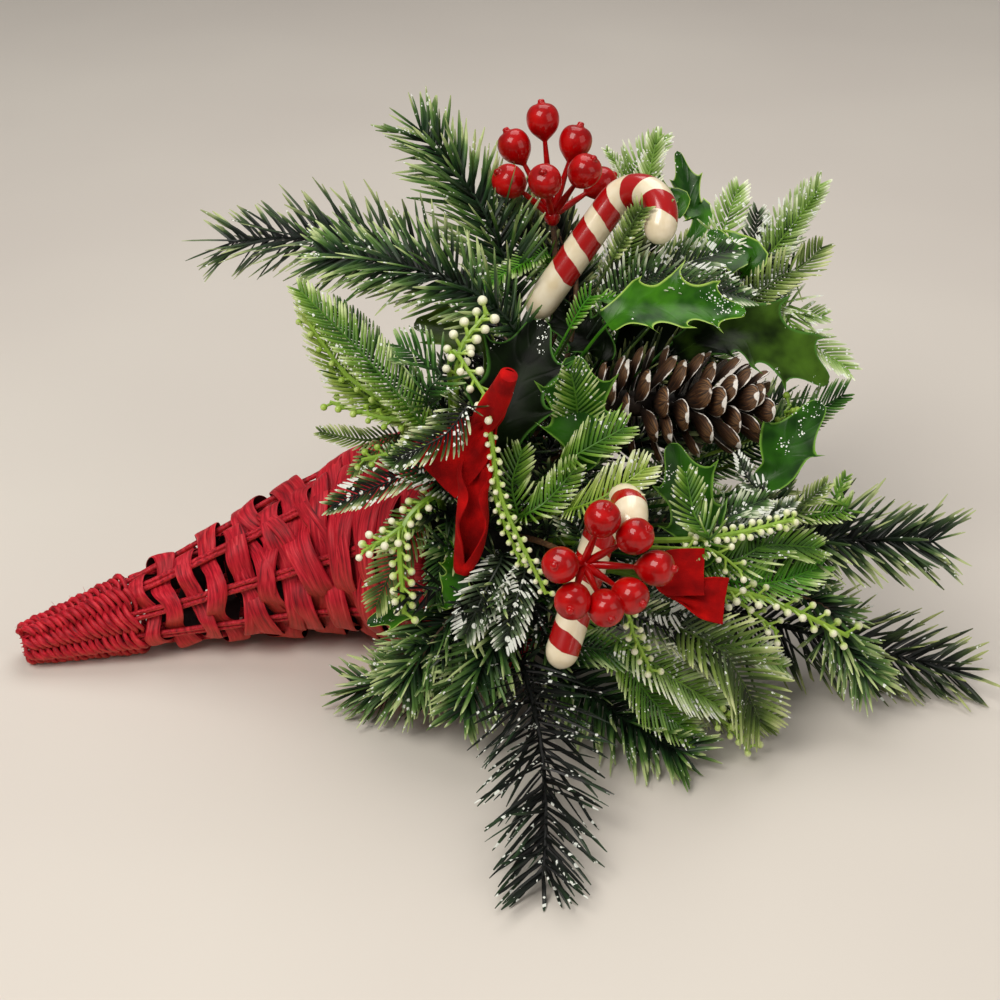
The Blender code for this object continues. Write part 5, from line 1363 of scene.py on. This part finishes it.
# Ribbons: runs from the knot. A station is a pixel and a depth, then the section's roll, pleats and fold
RIBBON_WIDTH = 0.0220
RIBBON_THICKNESS = 0.6 * MM
RIBBONS = {
    "ribbon_left": (1.0, (
        (((480, 430, -40), -2.4, 1.6, 0.0), ((489, 413, -44), -3.8, 0.5, 0.0),
         ((499, 396, -48), -5.0, 0.1, 0.0), ((509, 374, -53), -7.0, 0.0, 0.0)),
        (((488, 420, -41), 1.0, 1.8, 0.0), ((474, 438, -44), -0.5, 0.9, 0.0),
         ((456, 457, -45), -0.5, 0.3, 0.0), ((435, 478, -44), -0.3, 0.1, 0.0)),
        (((480, 446, -42), 2.0, 1.8, 0.0), ((475, 470, -47), 1.4, 1.2, 0.8),
         ((473, 494, -50), 0.5, 0.4, 2.4), ((472, 520, -52), 0.0, 0.1, 1.8),
         ((469, 546, -52), 0.9, 0.1, 2.1), ((462, 571, -50), 6.6, 0.1, 0.6)))),
    "ribbon_right": (0.82, (
        (((656, 572, -60), 0.8, 1.6, 0.0), ((668, 573, -62), 0.4, 0.5, 0.0),
         ((686, 572, -63), 0.3, 0.2, 0.0), ((704, 572, -62), 0.4, 0.2, 0.0)),
        (((666, 592, -60), 2.6, 2.4, 0.0), ((680, 596, -64), 1.0, 2.0, 0.0),
         ((702, 598, -66), 0.6, 0.8, 0.0), ((725, 601, -64), 0.5, 0.1, 0.0)))),
}


def make_ribbons():
    """Velvet bows: each loop and tail is a strip that keeps its full width along each section.

    A section's slope is a roll that grows evenly across the width, plus pleats as a sine, plus a fold that
    turns both edges in. Summing the slope's cosine and sine across the width gives the section, so its
    length is the ribbon's width.
    """
    cloth = velvet()
    for name, (size, runs) in RIBBONS.items():
        width = RIBBON_WIDTH * size
        shape = Shape()
        total = 0.0
        for stations in runs:
            rows, columns = 60, 41
            line = curve_through([seen_at(*station[0]) for station in stations], rows)
            numbers = curve_through([station[1:] for station in stations], rows)
            path = Stem(line, facing=VIEW_BACK)
            point, _, over, across = path.at(path.share)
            v = np.linspace(-0.5, 0.5, columns)
            turned_in = np.sign(v) * smooth_step((np.abs(v) - 0.17) / 0.18)
            slope = (numbers[:, :1] * v + numbers[:, 1:2] * np.sin(TURN * 2.5 * v)
                     + numbers[:, 2:] * turned_in)
            step = width / (columns - 1)
            right = np.cumsum(np.cos(slope), axis=1) * step
            top = np.cumsum(np.sin(slope), axis=1) * step
            right -= right.mean(axis=1, keepdims=True)
            top -= top.mean(axis=1, keepdims=True)
            sheet = point[:, None] + across[:, None] * right[..., None] + over[:, None] * top[..., None]
            normal = unit(np.cross(np.gradient(sheet, axis=0), np.gradient(sheet, axis=1)))
            half = RIBBON_THICKNESS / 2
            grid = np.concatenate([sheet + normal * half, (sheet - normal * half)[:, ::-1]], axis=1)
            shape.add(grid, path.share[:, None] + total * 20.0, np.concatenate([v, v[::-1], v[:1]]))
            total += path.length
        made = make_piece(name + "_velvet", shape, [cloth], [name])


def make_stage():
    """A pale floor, level far round the basket, that sweeps up into a wall on all sides.

    Its profile is a level run, a quarter circle and an upright run, turned about the vertical.
    """
    level, bend, high, sides = 2.2, 0.6, 1.6, 96
    lean = np.linspace(0.0, math.pi / 2, 12)
    out = np.concatenate([[0.5, 1.2], level + bend * np.sin(lean), [level + bend]])
    rise = np.concatenate([[0.0, 0.0], bend * (1.0 - np.cos(lean)), [high]]) - 0.2 * MM
    turn = turns(sides)
    points = np.stack([out[:, None] * np.cos(turn), out[:, None] * np.sin(turn),
                       np.broadcast_to(rise[:, None], (len(out), sides))], axis=-1)
    number = np.arange(len(out) * sides).reshape(len(out), sides)
    beside = np.roll(number, -1, axis=1)
    quads = np.stack([number[:-1], number[1:], beside[1:], beside[:-1]], axis=-1).reshape(-1, 4)
    mesh = bpy.data.meshes.new("backdrop")
    mesh.from_pydata(points.reshape(-1, 3).tolist(), [], [number[0].tolist(), *quads.tolist()])
    mesh.shade_smooth()
    mesh.materials.append(backdrop_card())
    put("backdrop", mesh)


def add_camera():
    """The camera, from its own right, up and back directions and its place."""
    data = bpy.data.cameras.new("view")
    data.sensor_width = SENSOR_WIDTH
    data.lens = SENSOR_WIDTH * VIEW_DISTANCE / VIEW_WIDTH
    data.clip_start = 0.01
    bpy.context.scene.camera = put("view", data, (VIEW_RIGHT, VIEW_UP, VIEW_BACK, EYE))


# Lamps: name, place, size, power in watts and colour. All are aimed at one point in the basket
LAMP_TARGET = np.array([0.0, 0.0, 0.08])
LAMPS = (
    ("window_left", (-0.50, -0.60, 1.10), 0.7, 12.5, "#FFF9F2"),
    ("fill_right", (0.95, -0.75, 0.70), 0.9, 4.0, "#FFF6EE"),
    ("ceiling", (0.10, 0.60, 1.35), 1.0, 10.0, "#FFFAF6"),
)


def add_lights():
    """Soft square lamps aimed at the basket, over an even pale world."""
    for name, place, size, power, tint in LAMPS:
        lamp = bpy.data.lights.new(name, "AREA")
        lamp.shape = "SQUARE"
        lamp.size = size
        lamp.energy = power
        lamp.color = colour(tint)[:3]
        back = unit(np.array(place) - LAMP_TARGET)
        right = unit(np.cross(UP, back))
        put(name, lamp, (right, np.cross(back, right), back, place))
    world = bpy.data.worlds.new("pale_room")
    world.use_nodes = True
    sky = world.node_tree.nodes["Background"]
    sky.inputs["Color"].default_value = colour("#F1F1F3")
    sky.inputs["Strength"].default_value = 0.24
    bpy.context.scene.world = world


add_camera()
make_stakes()
make_weavers()
make_tail()
make_hoop()
make_foam()
make_core()
make_pines()
make_ferns()
make_leaves()
make_sprigs()
make_berries()
make_canes()
make_cone()
make_ribbons()
make_stage()
add_lights()
bpy.context.scene.view_settings.view_transform = "Standard"
